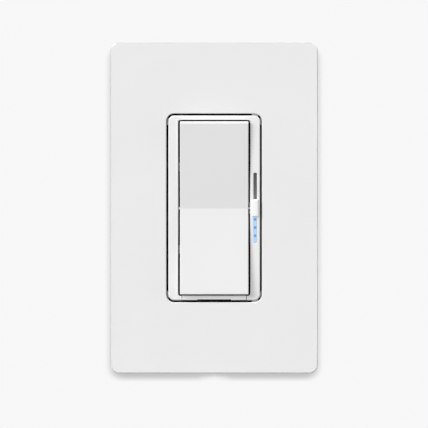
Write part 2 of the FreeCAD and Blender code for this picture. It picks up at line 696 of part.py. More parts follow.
def make_wallplate_cover():
    """The cover: a shallow tray with a window, a lip round it, ribs, catches and a pry notch."""
    body = new_body("wallplate_cover")
    across = spread("Sizes.plate_width")
    up = spread("Sizes.plate_height")
    inner_across = (minus(COVER_HALF), COVER_HALF)
    inner_up = (minus(COVER_TOP), COVER_TOP)
    face_back = less("Sizes.plate_depth", "Sizes.plate_face")
    lip_back = less(face_back, "Sizes.lip_depth")
    inner_corner = less("Sizes.plate_corner", "Sizes.plate_wall")
    window_across = spread("Sizes.bezel_width + 2 * Sizes.plate_gap")
    window_up = spread("Sizes.bezel_height + 2 * Sizes.plate_gap")
    window_corner = total("Sizes.bezel_corner", "Sizes.plate_gap")
    lip_across = (less(window_across[0], "Sizes.lip_wall"), total(window_across[1], "Sizes.lip_wall"))
    lip_up = (less(window_up[0], "Sizes.lip_wall"), total(window_up[1], "Sizes.lip_wall"))

    add_block(body, "tray", across, up, ("0", "Sizes.plate_depth"), "Sizes.plate_corner")
    rim = outline_edges(body.Tip.Shape, "Sizes.plate_depth", across, up, "Sizes.plate_corner")
    round_edges(body, "front_round", "Sizes.plate_edge", rim)
    cut_block(body, "hollow", inner_across, inner_up, ("0", face_back), inner_corner)
    add_block(body, "lip", lip_across, lip_up, (lip_back, face_back))
    for side in SIDES:
        middle = signed(side, half("Sizes.rib_spacing"))
        rib_across = around(middle, "Sizes.rib_wall")
        high_up = (less(lip_up[1], half("Sizes.lip_wall")), inner_up[1])
        low_up = (inner_up[0], total(lip_up[0], half("Sizes.lip_wall")))
        add_block(body, "upper_rib", rib_across, high_up, (lip_back, face_back))
        add_block(body, "lower_rib", rib_across, low_up, (lip_back, face_back))
        wall = signed(side, COVER_HALF)
        lip_side = signed(side, less(lip_across[1], half("Sizes.lip_wall")))
        side_across = ordered(lip_side, wall)
        for end in SIDES:
            level = signed(end, half("Sizes.catch_spacing / 2"))
            rib_up = around(level, "Sizes.rib_wall")
            add_block(body, "side_rib", side_across, rib_up, (lip_back, face_back))
            add_catch(body, side, end)
    cut_block(body, "window", window_across, window_up, (lip_back, "Sizes.plate_depth"), window_corner)
    edges = outline_edges(body.Tip.Shape, "Sizes.plate_depth", window_across, window_up, window_corner)
    bevel_edges(body, "window_bevel", "Sizes.window_edge", edges)
    pry_up = (less(up[0], "Sizes.overrun"), total(inner_up[0], "Sizes.overrun"))
    pry_levels = (minus("Sizes.overrun"), "Sizes.pry_height")
    cut_block(body, "pry_notch", spread("Sizes.pry_width"), pry_up, pry_levels)


def add_catch(body, side, end):
    """One wedge on the cover's inner side wall, which holds the adapter from behind."""
    front = less(YOKE_FRONT, "Sizes.catch_play")
    back = less(front, "Sizes.catch_height")
    root = signed(side, total(COVER_HALF, half("Sizes.plate_wall")))
    tip = signed(side, less(COVER_HALF, "Sizes.catch_reach"))
    nose = less(front, "Sizes.catch_height / 4")
    places = [(root, minus(front)), (tip, minus(front)), (tip, minus(nose)), (root, minus(back))]
    middle = signed(end, half("Sizes.catch_spacing"))
    start = less(middle, half("Sizes.catch_length"))
    add_profile_along(body, "catch", "XY_Plane", start, places, "Sizes.catch_length")


# Adapter under the cover, and its screws

def make_wallplate_adapter():
    """The adapter: a rimmed frame with catch windows, box-screw windows and countersunk holes."""
    body = new_body("wallplate_adapter")
    across = (minus(ADAPTER_HALF), ADAPTER_HALF)
    up = (minus(ADAPTER_TOP), ADAPTER_TOP)
    inner_across = (total(across[0], "Sizes.adapter_wall"), less(across[1], "Sizes.adapter_wall"))
    inner_up = (total(up[0], "Sizes.adapter_wall"), less(up[1], "Sizes.adapter_wall"))
    window_across = spread("Sizes.bezel_width + 2 * Sizes.adapter_clearance")
    window_up = spread("Sizes.bezel_height + 2 * Sizes.adapter_clearance")

    rim_levels = ("Sizes.adapter_lift", YOKE_FRONT)
    sheet_levels = (YOKE_FRONT, ADAPTER_FRONT)
    add_block(body, "plate", across, up, ("Sizes.adapter_lift", ADAPTER_FRONT), "Sizes.adapter_corner")
    cut_block(body, "recess", inner_across, inner_up, rim_levels)
    cut_block(body, "window", window_across, window_up, sheet_levels)
    for side in SIDES:
        for end in SIDES:
            middle = signed(end, half("Sizes.catch_spacing"))
            opening = around(middle, "Sizes.catch_length + 2 * Sizes.catch_window_play")
            outer = signed(side, total(ADAPTER_HALF, "Sizes.overrun"))
            inner = signed(side, less(ADAPTER_HALF, "Sizes.adapter_wall", "Sizes.overrun / 2"))
            cut_block(body, "catch_window", ordered(outer, inner), opening, rim_levels)
    for end in SIDES:
        level = signed(end, half("Sizes.box_screw_spacing"))
        access_up = around(level, "Sizes.access_height")
        cut_block(body, "access", spread("Sizes.access_width"), access_up, sheet_levels)
        place = ("0", signed(end, half("Sizes.plate_screw_spacing")))
        hole = total("Sizes.plate_screw_radius", "Sizes.screw_play")
        cut_disc(body, "screw_hole", [place], hole, sheet_levels)
        bottom = less(ADAPTER_FRONT, "Sizes.plate_screw_sink")
        wide = total("Sizes.plate_screw_head", "Sizes.screw_play")
        cone = [("0", bottom), (hole, bottom), (wide, ADAPTER_FRONT), ("0", ADAPTER_FRONT)]
        turn(body, "countersink", cone, place, True)


def countersunk_screw(name, place, sizes, front):
    """A countersunk screw with a cross recess, its head flush with a level."""
    radius, head, sink, length = sizes
    body = document.addObject("PartDesign::Body", name)
    shank_end = less(front, length)
    places = [("0", shank_end), (radius, shank_end), (radius, less(front, sink)), (head, front), ("0", front)]
    turn(body, "shank", places, place)
    floor = less(front, f"{sink} * Sizes.drive_depth")
    arm = f"{head} * Sizes.drive_reach"
    slot = f"{head} * Sizes.drive_slot"
    wide = (less(place[0], arm), total(place[0], arm))
    narrow = (less(place[0], half(slot)), total(place[0], half(slot)))
    tall = (less(place[1], arm), total(place[1], arm))
    low = (less(place[1], half(slot)), total(place[1], half(slot)))
    cut_block(body, "cross_bar", wide, low, (floor, front))
    cut_block(body, "upright_bar", narrow, tall, (floor, front))
    return body


def make_adapter_screws():
    """Two countersunk screws that hold the adapter on the strap."""
    sizes = ("Sizes.plate_screw_radius", "Sizes.plate_screw_head", "Sizes.plate_screw_sink",
             "Sizes.plate_screw_length")
    members = []
    for end, label in zip(SIDES, ("lower_adapter_screw", "upper_adapter_screw")):
        place = ("0", signed(end, half("Sizes.plate_screw_spacing")))
        members.append(countersunk_screw(label, place, sizes, ADAPTER_FRONT))
    keep("adapter_screws", join("Part::Compound", "adapter_screws", members))


# Bezel

def make_bezel():
    """The bezel: a moulded frame with the paddle opening, slider slot, bearings, skirt and hooks."""
    body = new_body("bezel")
    across = spread("Sizes.bezel_width")
    up = spread("Sizes.bezel_height")
    inner_across = (total(across[0], "Sizes.bezel_wall"), less(across[1], "Sizes.bezel_wall"))
    inner_up = (total(up[0], "Sizes.bezel_wall"), less(up[1], "Sizes.bezel_wall"))
    opening_across = (minus(OPENING_HALF), OPENING_HALF)
    opening_up = (minus(OPENING_TOP), OPENING_TOP)
    skirt_half = total(OPENING_HALF, "Sizes.skirt_wall")
    skirt_across = (minus(skirt_half), skirt_half)
    skirt_up = (total(minus(OPENING_TOP), "Sizes.bezel_wall"), total(OPENING_TOP, "Sizes.skirt_wall"))
    skirt_back = less(BEZEL_INNER, "Sizes.skirt_depth")
    opening_corner = "Sizes.bezel_corner / 4"

    add_block(body, "frame", across, up, (YOKE_FRONT, BEZEL_FRONT), "Sizes.bezel_corner")
    rim = outline_edges(body.Tip.Shape, BEZEL_FRONT, across, up, "Sizes.bezel_corner")
    bevel_edges(body, "front_bevel", "Sizes.bezel_edge", rim)
    cut_block(body, "hollow", inner_across, inner_up, (YOKE_FRONT, BEZEL_INNER))
    add_block(body, "skirt", skirt_across, skirt_up, (skirt_back, BEZEL_INNER))
    cut_block(body, "opening", opening_across, opening_up, (skirt_back, BEZEL_FRONT), opening_corner)
    edges = outline_edges(body.Tip.Shape, BEZEL_FRONT, opening_across, opening_up, opening_corner)
    bevel_edges(body, "opening_bevel", "Sizes.bezel_edge / 2", edges)

    arm_across = (less(OPENING_HALF, "Sizes.paddle_gap / 2"), total(skirt_half, "Sizes.root"))
    arm_up = spread(f"2 * ({SLIDER_WINDOW_UP}) + 2 * Sizes.skirt_wall")
    cut_block(body, "arm_relief", arm_across, arm_up, (skirt_back, BEZEL_INNER))

    bar_reach = total("Sizes.bar_half", "Sizes.bar_play")
    bar_across = (minus(bar_reach), bar_reach)
    bar_up = (less(up[0], "Sizes.overrun"), total(minus(OPENING_TOP), "Sizes.skirt_wall"))
    bar_floor = less(BAR_BACK, "Sizes.bar_play * 2")
    cut_block(body, "bar_notch", bar_across, bar_up, (bar_floor, BEZEL_FRONT))

    slot_across = around("Sizes.slot_offset", "Sizes.slot_width")
    slot_up = spread("Sizes.slot_length")
    slot_levels = (BEZEL_INNER, BEZEL_FRONT)
    cut_block(body, "slider_slot", slot_across, slot_up, slot_levels, "Sizes.slot_corner")
    edges = outline_edges(body.Tip.Shape, BEZEL_FRONT, slot_across, slot_up, "Sizes.slot_corner")
    bevel_edges(body, "slot_bevel", "Sizes.slot_edge", edges)

    bearing = total("Sizes.pin_radius", "Sizes.pin_play")
    depth = total("Sizes.pin_reach", "2 * Sizes.pin_play")
    for side in SIDES:
        end = total(OPENING_HALF, depth)
        shift = end if side > 0 else minus(less(OPENING_HALF, "Sizes.paddle_gap / 2"))
        sketch = plane_sketch(body, "bearing_sketch", "YZ_Plane", shift)
        add_circle(sketch, (minus(PIVOT_LEVEL), CREASE_UP), bearing)
        pocket(body, "bearing", sketch, total(depth, "Sizes.paddle_gap / 2"))
        for level in SIDES:
            add_hook(body, side, level)


def add_hook(body, side, level):
    """One hook that reaches through the strap and springs out behind it."""
    inner = signed(side, less("Sizes.bezel_width / 2", "Sizes.bezel_wall"))
    outer = signed(side, "(Sizes.bezel_width / 2 - Sizes.hook_play)")
    barb = signed(side, "(Sizes.bezel_width / 2 - Sizes.hook_play + Sizes.hook_barb)")
    catch = minus("Sizes.hook_play / 2")
    tail = minus("Sizes.hook_tail")
    root = total(YOKE_FRONT, "Sizes.root")
    places = [
        (inner, minus(root)),
        (outer, minus(root)),
        (outer, minus(catch)),
        (barb, minus(catch)),
        (inner, minus(tail)),
    ]
    start = less(signed(level, half("Sizes.hook_spacing")), half("Sizes.hook_width"))
    add_profile_along(body, "hook", "XY_Plane", start, places, "Sizes.hook_width")


# Paddle

def paddle_level(up):
    """The level of the paddle's V face at a height, as an expression."""
    if number(up) > number(CREASE_UP):
        end_front, end_up = BROW_FRONT, BROW_UP
    else:
        end_front, end_up = FOOT_FRONT, PADDLE_FOOT
    share = f"(({up} - {CREASE_UP}) / ({end_up} - {CREASE_UP}))"
    return total(CREASE_FRONT, f"({end_front} - {CREASE_FRONT}) * {share}")


def under_face(foot, top, depth):
    """The (y, z) places of a line under the V face, from the top down."""
    heights = (top, CREASE_UP, foot)
    return [(minus(less(paddle_level(up), depth)), up) for up in heights]


def make_paddle():
    """The paddle: a hollow rocker with a shallow V face, ribs, pivot pins and two push posts."""
    body = new_body("paddle")
    left = minus("Sizes.paddle_width / 2")
    outline = [
        (minus(PADDLE_BACK), PADDLE_FOOT),
        (minus(PADDLE_BACK), PADDLE_TOP),
        (minus(less(BROW_FRONT, "Sizes.brow_depth")), PADDLE_TOP),
        (minus(BROW_FRONT), BROW_UP),
        (minus(CREASE_FRONT), CREASE_UP),
        (minus(FOOT_FRONT), PADDLE_FOOT),
    ]
    add_profile_along(body, "rocker", "YZ_Plane", left, outline, "Sizes.paddle_width")
    round_edges(body, "front_round", "Sizes.paddle_edge", paddle_face_edges(body.Tip.Shape))

    inner_foot = total(PADDLE_FOOT, "Sizes.paddle_wall")
    inner_top = less(PADDLE_TOP, "Sizes.paddle_wall")
    hollow = [(minus(PADDLE_BACK), inner_foot), (minus(PADDLE_BACK), inner_top)]
    hollow += under_face(inner_foot, inner_top, "Sizes.paddle_face")
    inner = "(Sizes.paddle_width - 2 * Sizes.paddle_wall)"
    cut_profile_along(body, "hollow", "YZ_Plane", half(inner), hollow, inner)

    root = "Sizes.paddle_face / 2"
    rib_back = total(PADDLE_BACK, "Sizes.paddle_rib")
    rib_foot = total(PADDLE_FOOT, "Sizes.paddle_wall / 2")
    rib_top = less(PADDLE_TOP, "Sizes.paddle_wall / 2")
    rib_across = spread(total(inner, "Sizes.paddle_wall"))
    for side in SIDES:
        lane = around(signed(side, "Sizes.paddle_width / 4"), "Sizes.paddle_rib")
        rib = [(minus(rib_back), rib_foot), (minus(rib_back), rib_top)] + under_face(rib_foot, rib_top, root)
        add_profile_along(body, "long_rib", "YZ_Plane", lane[0], rib, "Sizes.paddle_rib")
        height = signed(side, "Sizes.post_offset / 2")
        rib_levels = (rib_back, less(paddle_level(height), root))
        add_block(body, "cross_rib", rib_across, around(height, "Sizes.paddle_rib"), rib_levels)
        height = signed(side, "Sizes.post_offset")
        post_levels = (POST_TIP, less(paddle_level(height), root))
        for width, rise in (("Sizes.post_width", "Sizes.post_arm"), ("Sizes.post_arm", "Sizes.post_width")):
            add_block(body, "push_post", spread(width), around(height, rise), post_levels)

    pin_end = total(OPENING_HALF, "Sizes.pin_reach")
    wall = less("Sizes.paddle_width / 2", "Sizes.paddle_wall / 2")
    for side in SIDES:
        shift = wall if side > 0 else minus(pin_end)
        sketch = plane_sketch(body, "pin_sketch", "YZ_Plane", shift)
        add_circle(sketch, (minus(PIVOT_LEVEL), CREASE_UP), "Sizes.pin_radius")
        pad(body, "pivot_pin", sketch, less(pin_end, wall))


def paddle_face_edges(shape):
    """The edges round the paddle's front, without the crease and the line under the brow."""
    back = -number(PADDLE_BACK)
    kept = (number(CREASE_UP), number(BROW_UP))
    names = []
    for index, edge in enumerate(shape.Edges, start=1):
        ends = [vertex.Point for vertex in edge.Vertexes]
        at_back = any(abs(end.y - back) < NEAR for end in ends)
        inside = any(all(abs(end.z - up) < NEAR for end in ends) for up in kept)
        if not at_back and not inside:
            names.append(f"Edge{index}")
    return names


# Service switch

def make_service_switch_bar():
    """The pull-out bar: its two legs pass through the strap to a cross blade at the contacts."""
    body = new_body("service_switch_bar")
    across = (minus("Sizes.bar_half"), "Sizes.bar_half")
    up = (BAR_FOOT, BAR_TOP)
    add_block(body, "bar", across, up, (BAR_BACK, BEZEL_FRONT))
    front = outline_edges(body.Tip.Shape, BEZEL_FRONT, across, up)
    round_edges(body, "front_round", "Sizes.bar_edge", front)
    recess_across = (minus("Sizes.nail_half"), "Sizes.nail_half")
    recess_up = (less(BAR_FOOT, "Sizes.overrun"), total(BAR_FOOT, "Sizes.nail_depth"))
    cut_block(body, "nail_recess", recess_across, recess_up, (BAR_BACK, BEZEL_FRONT))
    leg_up = (LEG_FOOT, total(LEG_FOOT, "Sizes.leg_height"))
    for side in SIDES:
        leg_across = around(signed(side, "Sizes.leg_offset"), "Sizes.leg_width")
        add_block(body, "leg", leg_across, leg_up, (BLADE_LEVEL, BAR_BACK))
    reach = total("Sizes.leg_offset", "Sizes.leg_width / 2")
    blade_up = (LEG_FOOT, total(LEG_FOOT, "Sizes.blade_height"))
    add_block(body, "blade", (minus(reach), reach), blade_up, around(BLADE_LEVEL, "Sizes.blade_thickness"))


# Slider

def make_slider():
    """The knob with its stem, the carriage behind the bezel and the potentiometer's wiper."""
    knob = new_body("slider_knob")
    across = around("Sizes.slot_offset", "Sizes.knob_width")
    up = spread("Sizes.knob_length")
    under = total(BEZEL_FRONT, "Sizes.knob_lift")
    top = total(under, "Sizes.knob_height")
    add_block(knob, "grip", across, up, (under, top))
    round_edges(knob, "grip_round", "Sizes.knob_edge", outline_edges(knob.Tip.Shape, top, across, up))
    stem_across = around("Sizes.slot_offset", "Sizes.slot_width - 2 * Sizes.stem_play")
    stem_up = spread("Sizes.stem_length")
    add_block(knob, "stem", stem_across, stem_up, (CARRIAGE_BACK, under))

    carriage = new_body("slider_carriage")
    plate_across = (ARM_LOW, less(SLIDER_WINDOW_HIGH, "Sizes.socket_play"))
    plate_up = spread("Sizes.carriage_length")
    add_block(carriage, "plate", plate_across, plate_up, (CARRIAGE_BACK, CARRIAGE_FRONT))
    socket_width = "Sizes.slot_width - 2 * Sizes.stem_play + 2 * Sizes.socket_play"
    socket_across = around("Sizes.slot_offset", socket_width)
    socket_up = spread("Sizes.stem_length + 2 * Sizes.socket_play")
    arm_up = spread("Sizes.arm_length")
    add_block(carriage, "arm", (ARM_LOW, ARM_HIGH), arm_up, (FORK_BACK, CARRIAGE_BACK))
    fork_low = less("Sizes.lever_offset", "Sizes.lever_width")
    add_block(carriage, "fork", (fork_low, ARM_HIGH), arm_up, (FORK_BACK, FORK_FRONT))
    cut_block(carriage, "socket", socket_across, socket_up, (CARRIAGE_BACK, CARRIAGE_FRONT))
    grip_high = total("Sizes.lever_offset", "Sizes.lever_width / 2", "Sizes.fork_play")
    grip_across = (less(fork_low, "Sizes.overrun"), grip_high)
    grip_up = spread("Sizes.lever_length + 2 * Sizes.fork_play")
    cut_block(carriage, "fork_mouth", grip_across, grip_up, (FORK_BACK, FORK_FRONT))

    wiper = new_body("slide_pot_wiper")
    lever_across = around("Sizes.lever_offset", "Sizes.lever_width")
    lever_up = spread("Sizes.lever_length")
    lid_back = less(POT_FRONT, "Sizes.pot_lid")
    shoe_front = less(lid_back, "Sizes.pot_play")
    shoe_back = total(CONTROL_FRONT, "Sizes.pot_wall", "Sizes.pot_play")
    shoe_width = "Sizes.pot_width - 2 * Sizes.pot_wall - 2 * Sizes.pot_play"
    shoe_across = around("Sizes.lever_offset", shoe_width)
    shoe_up = spread("3 * Sizes.lever_length")
    add_block(wiper, "shoe", shoe_across, shoe_up, (shoe_back, shoe_front))
    add_block(wiper, "lever", lever_across, lever_up, (shoe_front, FORK_FRONT))


def make_slide_pot_body():
    """The potentiometer's case: a long box with a slotted front wall over the wiper's track."""
    body = new_body("slide_pot_body")
    across = around("Sizes.lever_offset", "Sizes.pot_width")
    up = spread("Sizes.pot_length")
    add_block(body, "case", across, up, (CONTROL_FRONT, POT_FRONT))
    inner_across = (total(across[0], "Sizes.pot_wall"), less(across[1], "Sizes.pot_wall"))
    run = "(Sizes.slider_travel + 3 * Sizes.lever_length / 2 + Sizes.pot_spare)"
    inner_up = (minus(run), run)
    lid_back = less(POT_FRONT, "Sizes.pot_lid")
    floor = total(CONTROL_FRONT, "Sizes.pot_wall")
    slot_across = around("Sizes.lever_offset", "Sizes.lever_width + 2 * Sizes.pot_play")
    slot_run = "(Sizes.slider_travel + Sizes.lever_length)"
    cut_block(body, "lever_slot", slot_across, (minus(slot_run), slot_run), (floor, POT_FRONT))
    sketch = plane_sketch(body, "track_sketch", "XZ_Plane", lid_back)
    add_rectangle(sketch, inner_across, inner_up)
    pocket(body, "track", sketch, less(lid_back, floor))


def make_light_bar():
    """The light guide: a blade from the LEDs to the slider slot, on two feet that stand on the strap."""
    body = new_body("light_bar")
    across = around("Sizes.slot_offset", "Sizes.light_width")
    up = (minus(LIGHT_REACH), LIGHT_REACH)
    add_block(body, "blade", across, up, (LIGHT_BACK, LIGHT_FRONT))
    foot_across = (across[0], less(SLIDER_WINDOW_HIGH, "Sizes.stem_play"))
    foot_levels = (YOKE_FRONT, total(YOKE_FRONT, "Sizes.light_foot_thickness"))
    for side in SIDES:
        near = signed(side, less(LIGHT_REACH, "Sizes.root"))
        far = signed(side, total(LIGHT_REACH, "Sizes.light_foot"))
        add_block(body, "foot", foot_across, ordered(near, far), foot_levels)


# Strap

def make_yoke():
    """The strap: stamped aluminium with wide scored sides, ears, screw slots and windows."""
    body = new_body("yoke")
    sheet_levels = ("0", YOKE_FRONT)
    wide_across = spread("Sizes.sink_width")
    wide_up = spread("Sizes.sink_height")
    ear_across = spread("Sizes.ear_width")
    ear_up = spread("Sizes.yoke_length")
    add_block(body, "ears", ear_across, ear_up, sheet_levels, "Sizes.ear_corner")
    add_block(body, "sink", wide_across, wide_up, sheet_levels)

    for side in SIDES:
        middle = signed(side, "Sizes.score_offset")
        low, high = around(middle, "Sizes.score_width")
        floor = less(YOKE_FRONT, "Sizes.score_depth")
        places = [(low, minus(YOKE_FRONT)), (middle, minus(floor)), (high, minus(YOKE_FRONT))]
        cut_profile_along(body, "score", "XY_Plane", wide_up[1], places, "Sizes.sink_height")

    slot_radius = half("Sizes.box_slot_width")
    reach = less(half("Sizes.box_slot_length"), slot_radius)
    for end in SIDES:
        level = signed(end, half("Sizes.box_screw_spacing"))
        sketch = plane_sketch(body, "box_slot_sketch", "XZ_Plane", YOKE_FRONT)
        add_rounded_outline(sketch, [(minus(reach), level), (reach, level)], slot_radius)
        pocket(body, "box_slot", sketch, "Sizes.yoke_thickness")
    screw_places = [("0", signed(end, half("Sizes.plate_screw_spacing"))) for end in SIDES]
    screw_radius = total("Sizes.plate_screw_radius", "Sizes.screw_play")
    cut_disc(body, "plate_screw_holes", screw_places, screw_radius, sheet_levels)

    for end in SIDES:
        window_up = around(signed(end, "Sizes.post_offset"), "2 * Sizes.post_width")
        cut_block(body, "post_window", spread("2 * Sizes.post_width"), window_up, sheet_levels)
    slider_up = (minus(SLIDER_WINDOW_UP), SLIDER_WINDOW_UP)
    cut_block(body, "slider_window", (SLIDER_WINDOW_LOW, SLIDER_WINDOW_HIGH), slider_up, sheet_levels)
    leg_reach = total("Sizes.leg_offset", "Sizes.leg_width / 2", "Sizes.bar_gap")
    leg_up = (less(LEG_FOOT, "Sizes.bar_gap"), total(LEG_FOOT, "Sizes.blade_height", "Sizes.bar_gap"))
    cut_block(body, "leg_window", (minus(leg_reach), leg_reach), leg_up, sheet_levels)
    for side in SIDES:
        low = signed(side, "(Sizes.bezel_width / 2 - Sizes.bezel_wall - Sizes.hook_play)")
        high = signed(side, "(Sizes.bezel_width / 2)")
        for end in SIDES:
            middle = signed(end, half("Sizes.hook_spacing"))
            hook_up = around(middle, "Sizes.hook_width + 2 * Sizes.hook_play")
            cut_block(body, "hook_slot", ordered(low, high), hook_up, sheet_levels)

    hole = total("Sizes.housing_screw_radius", "Sizes.screw_play")
    head = total("Sizes.housing_screw_head", "Sizes.screw_play")
    bottom = less(YOKE_FRONT, "Sizes.housing_screw_sink")
    cone = [("0", "0"), (hole, "0"), (hole, bottom), (head, YOKE_FRONT), ("0", YOKE_FRONT)]
    for place in housing_screw_places():
        turn(body, "housing_screw_hole", cone, place, True)
    tab_radius = total("Sizes.tab_screw_radius", "Sizes.screw_play")
    cut_disc(body, "tab_screw_holes", tab_screw_places(), tab_radius, sheet_levels)
    rivet_floor = less(YOKE_FRONT, "Sizes.rivet_sink")
    rivet_hole = total("Sizes.rivet_radius", "Sizes.screw_play")
    rivet_head = total("Sizes.rivet_head", "Sizes.screw_play")
    rivet_cone = [
        ("0", "0"),
        (rivet_hole, "0"),
        (rivet_hole, rivet_floor),
        (rivet_head, YOKE_FRONT),
        ("0", YOKE_FRONT),
    ]
    turn(body, "rivet_countersink", rivet_cone, GROUND_PLACE, True)


def housing_screw_places():
    """The centres of the four housing screws."""
    return [
        (signed(side, half("Sizes.boss_across")), signed(end, half("Sizes.boss_up")))
        for side in SIDES
        for end in SIDES
    ]


def tab_screw_places():
    """The centres of the two transistor tab screws."""
    level = "(Sizes.package_gap / 2 + Sizes.package_length - Sizes.tab_screw_inset)"
    return [(minus("Sizes.package_offset"), signed(end, level)) for end in SIDES]


def make_ground_lug():
    """The ground lead's crimp lug behind the strap's upper ear, and the rivet through both."""
    lug = new_body("ground_lug")
    back = minus("Sizes.lug_thickness")
    add_disc(lug, "ring", [GROUND_PLACE], "Sizes.lug_radius", (back, "0"))
    neck_across = (GROUND_PLACE[0], total(GROUND_PLACE[0], "Sizes.lug_length"))
    add_block(lug, "neck", neck_across, around(GROUND_PLACE[1], "Sizes.lug_radius"), (back, "0"))
    barrel_start = total(GROUND_PLACE[0], "Sizes.lug_radius", "Sizes.barrel_gap")
    sketch = plane_sketch(lug, "barrel_sketch", "YZ_Plane", barrel_start)
    axis = ("Sizes.barrel_radius", GROUND_PLACE[1])
    add_circle(sketch, axis, "Sizes.barrel_radius")
    add_circle(sketch, axis, "Sizes.barrel_radius - Sizes.lug_thickness")
    pad(lug, "barrel", sketch, less(total(GROUND_PLACE[0], "Sizes.lug_length"), barrel_start))
    hole = total("Sizes.rivet_radius", "Sizes.screw_play")
    cut_disc(lug, "rivet_hole", [GROUND_PLACE], hole, (back, "0"))

    rivet = new_body("ground_rivet")
    tail = less(back, "Sizes.lug_thickness")
    floor = less(YOKE_FRONT, "Sizes.rivet_sink")
    places = [
        ("0", tail),
        ("Sizes.rivet_head", tail),
        ("Sizes.rivet_head", back),
        ("Sizes.rivet_radius", back),
        ("Sizes.rivet_radius", floor),
        ("Sizes.rivet_head", YOKE_FRONT),
        ("0", YOKE_FRONT),
    ]
    turn(rivet, "rivet", places, GROUND_PLACE)


# Rear housing and its screws

def make_rear_housing():
    """The box behind the wall: stepped at the top for the lead exits, with bosses and board rails."""
    body = new_body("rear_housing")
    across = spread("Sizes.housing_width")
    up = spread("Sizes.housing_height")
    inner_across = (minus(HOUSING_HALF), HOUSING_HALF)
    add_block(body, "box", across, up, (HOUSING_BACK, "0"), "Sizes.housing_corner")
    step_up = (SHOULDER_LOW, total(up[1], "Sizes.overrun"))
    step_across = (less(across[0], "Sizes.overrun"), total(across[1], "Sizes.overrun"))
    cut_block(body, "shoulder", step_across, step_up, (HOUSING_BACK, SHOULDER_BACK))
    bevel_edges(body, "back_bevel", "Sizes.housing_edge", back_face_edges(body.Tip.Shape))

    low_up = (minus(HOUSING_TOP), less(SHOULDER_LOW, "Sizes.housing_wall"))
    cut_block(body, "deep_hollow", inner_across, low_up, (HOUSING_FLOOR, "0"))
    high_up = (less(SHOULDER_LOW, "2 * Sizes.housing_wall"), HOUSING_TOP)
    cut_block(body, "shallow_hollow", inner_across, high_up, (SHOULDER_FLOOR, "0"))

    for side in SIDES:
        wall = signed(side, total(HOUSING_HALF, half("Sizes.housing_wall")))
        ledge = signed(side, less(HOUSING_HALF, "Sizes.rail_reach"))
        deep_ledge = signed(side, less(HOUSING_HALF, "Sizes.rail_reach", "Sizes.rail_step"))
        for end in SIDES:
            rail_up = around(signed(end, half("Sizes.rail_spacing")), "Sizes.rail_wall")
            floor = total(HOUSING_BACK, half("Sizes.housing_wall"))
            add_block(body, "rail", ordered(wall, ledge), rail_up, (floor, CONTROL_BACK))
            add_block(body, "deep_rail", ordered(wall, deep_ledge), rail_up, (floor, POWER_BACK))

    boss_levels = (minus("Sizes.housing_screw_length"), "0")
    for across_place, up_place in housing_screw_places():
        boss_across = around(across_place, "Sizes.boss_side")
        add_block(body, "boss", boss_across, around(up_place, "Sizes.boss_side"), boss_levels)
    pilot = total("Sizes.housing_screw_radius", "Sizes.screw_play")
    pilot_back = less(YOKE_FRONT, "Sizes.housing_screw_length", "Sizes.pilot_spare")
    cut_disc(body, "pilots", housing_screw_places(), pilot, (pilot_back, "0"))

    exit_up = less("Sizes.housing_height / 2", half("Sizes.shoulder_height"))
    places = []
    for index in range(LEAD_EXITS):
        offset = f"{index - (LEAD_EXITS - 1) / 2} * Sizes.lead_pitch"
        places.append((offset, exit_up))
    cut_disc(body, "lead_exits", places, "Sizes.lead_radius", (SHOULDER_BACK, SHOULDER_FLOOR))


def back_face_edges(shape):
    """The edges round the housing's rearmost face."""
    back = number("Sizes.housing_depth")
    names = []
    for index, edge in enumerate(shape.Edges, start=1):
        box = edge.BoundBox
        if abs(box.YMin - back) < NEAR and abs(box.YMax - back) < NEAR:
            names.append(f"Edge{index}")
    return names


def make_housing_screws():
    """Four countersunk screws from the strap's front into the housing's bosses."""
    sizes = ("Sizes.housing_screw_radius", "Sizes.housing_screw_head", "Sizes.housing_screw_sink",
             "Sizes.housing_screw_length")
    members = []
    for index, place in enumerate(housing_screw_places()):
        label = f"housing_screw_{index}"
        members.append(countersunk_screw(label, place, sizes, YOKE_FRONT))
    keep("housing_screws", join("Part::Compound", "housing_screws", members))


# Boards and what stands on them

def make_control_board():
    """The front printed board, with a slot for the transistor leads."""
    body = new_body("control_board")
    reach = less(HOUSING_HALF, "Sizes.board_play")
    levels = (CONTROL_BACK, CONTROL_FRONT)
    add_block(body, "board", (minus(reach), reach), spread("Sizes.board_height"), levels)
    row = "2 * Sizes.lead_strip_pitch + Sizes.lead_strip + 2 * Sizes.lead_slot_play"
    lead_across = around(minus("Sizes.package_offset"), row)
    lead_up = spread("Sizes.package_gap + 2 * Sizes.lead_slot_play")
    cut_block(body, "lead_slot", lead_across, lead_up, levels)


def make_power_board():
    """The rear printed board, with a tongue that carries the service contacts."""
    body = new_body("power_board")
    reach = less(HOUSING_HALF, "Sizes.rail_reach", "Sizes.power_board_play")
    levels = (POWER_BACK, POWER_FRONT)
    foot = minus("Sizes.board_height / 2")
    add_block(body, "board", (minus(reach), reach), spread("Sizes.board_height"), levels)
    tongue_up = (less(foot, "Sizes.tongue_height"), total(foot, "Sizes.root"))
    add_block(body, "tongue", (minus("Sizes.tongue_half"), "Sizes.tongue_half"), tongue_up, levels)


def make_domes():
    """Two silicone domes, each with a flat top under a push post."""
    for side, name in zip((1, -1), ("upper_dome", "lower_dome")):
        body = new_body(name)
        places = [
            ("0", CONTROL_FRONT),
            ("Sizes.dome_radius", CONTROL_FRONT),
            ("Sizes.dome_top", DOME_TOP),
            ("0", DOME_TOP),
        ]
        turn(body, "dome", places, ("0", signed(side, "Sizes.post_offset")))


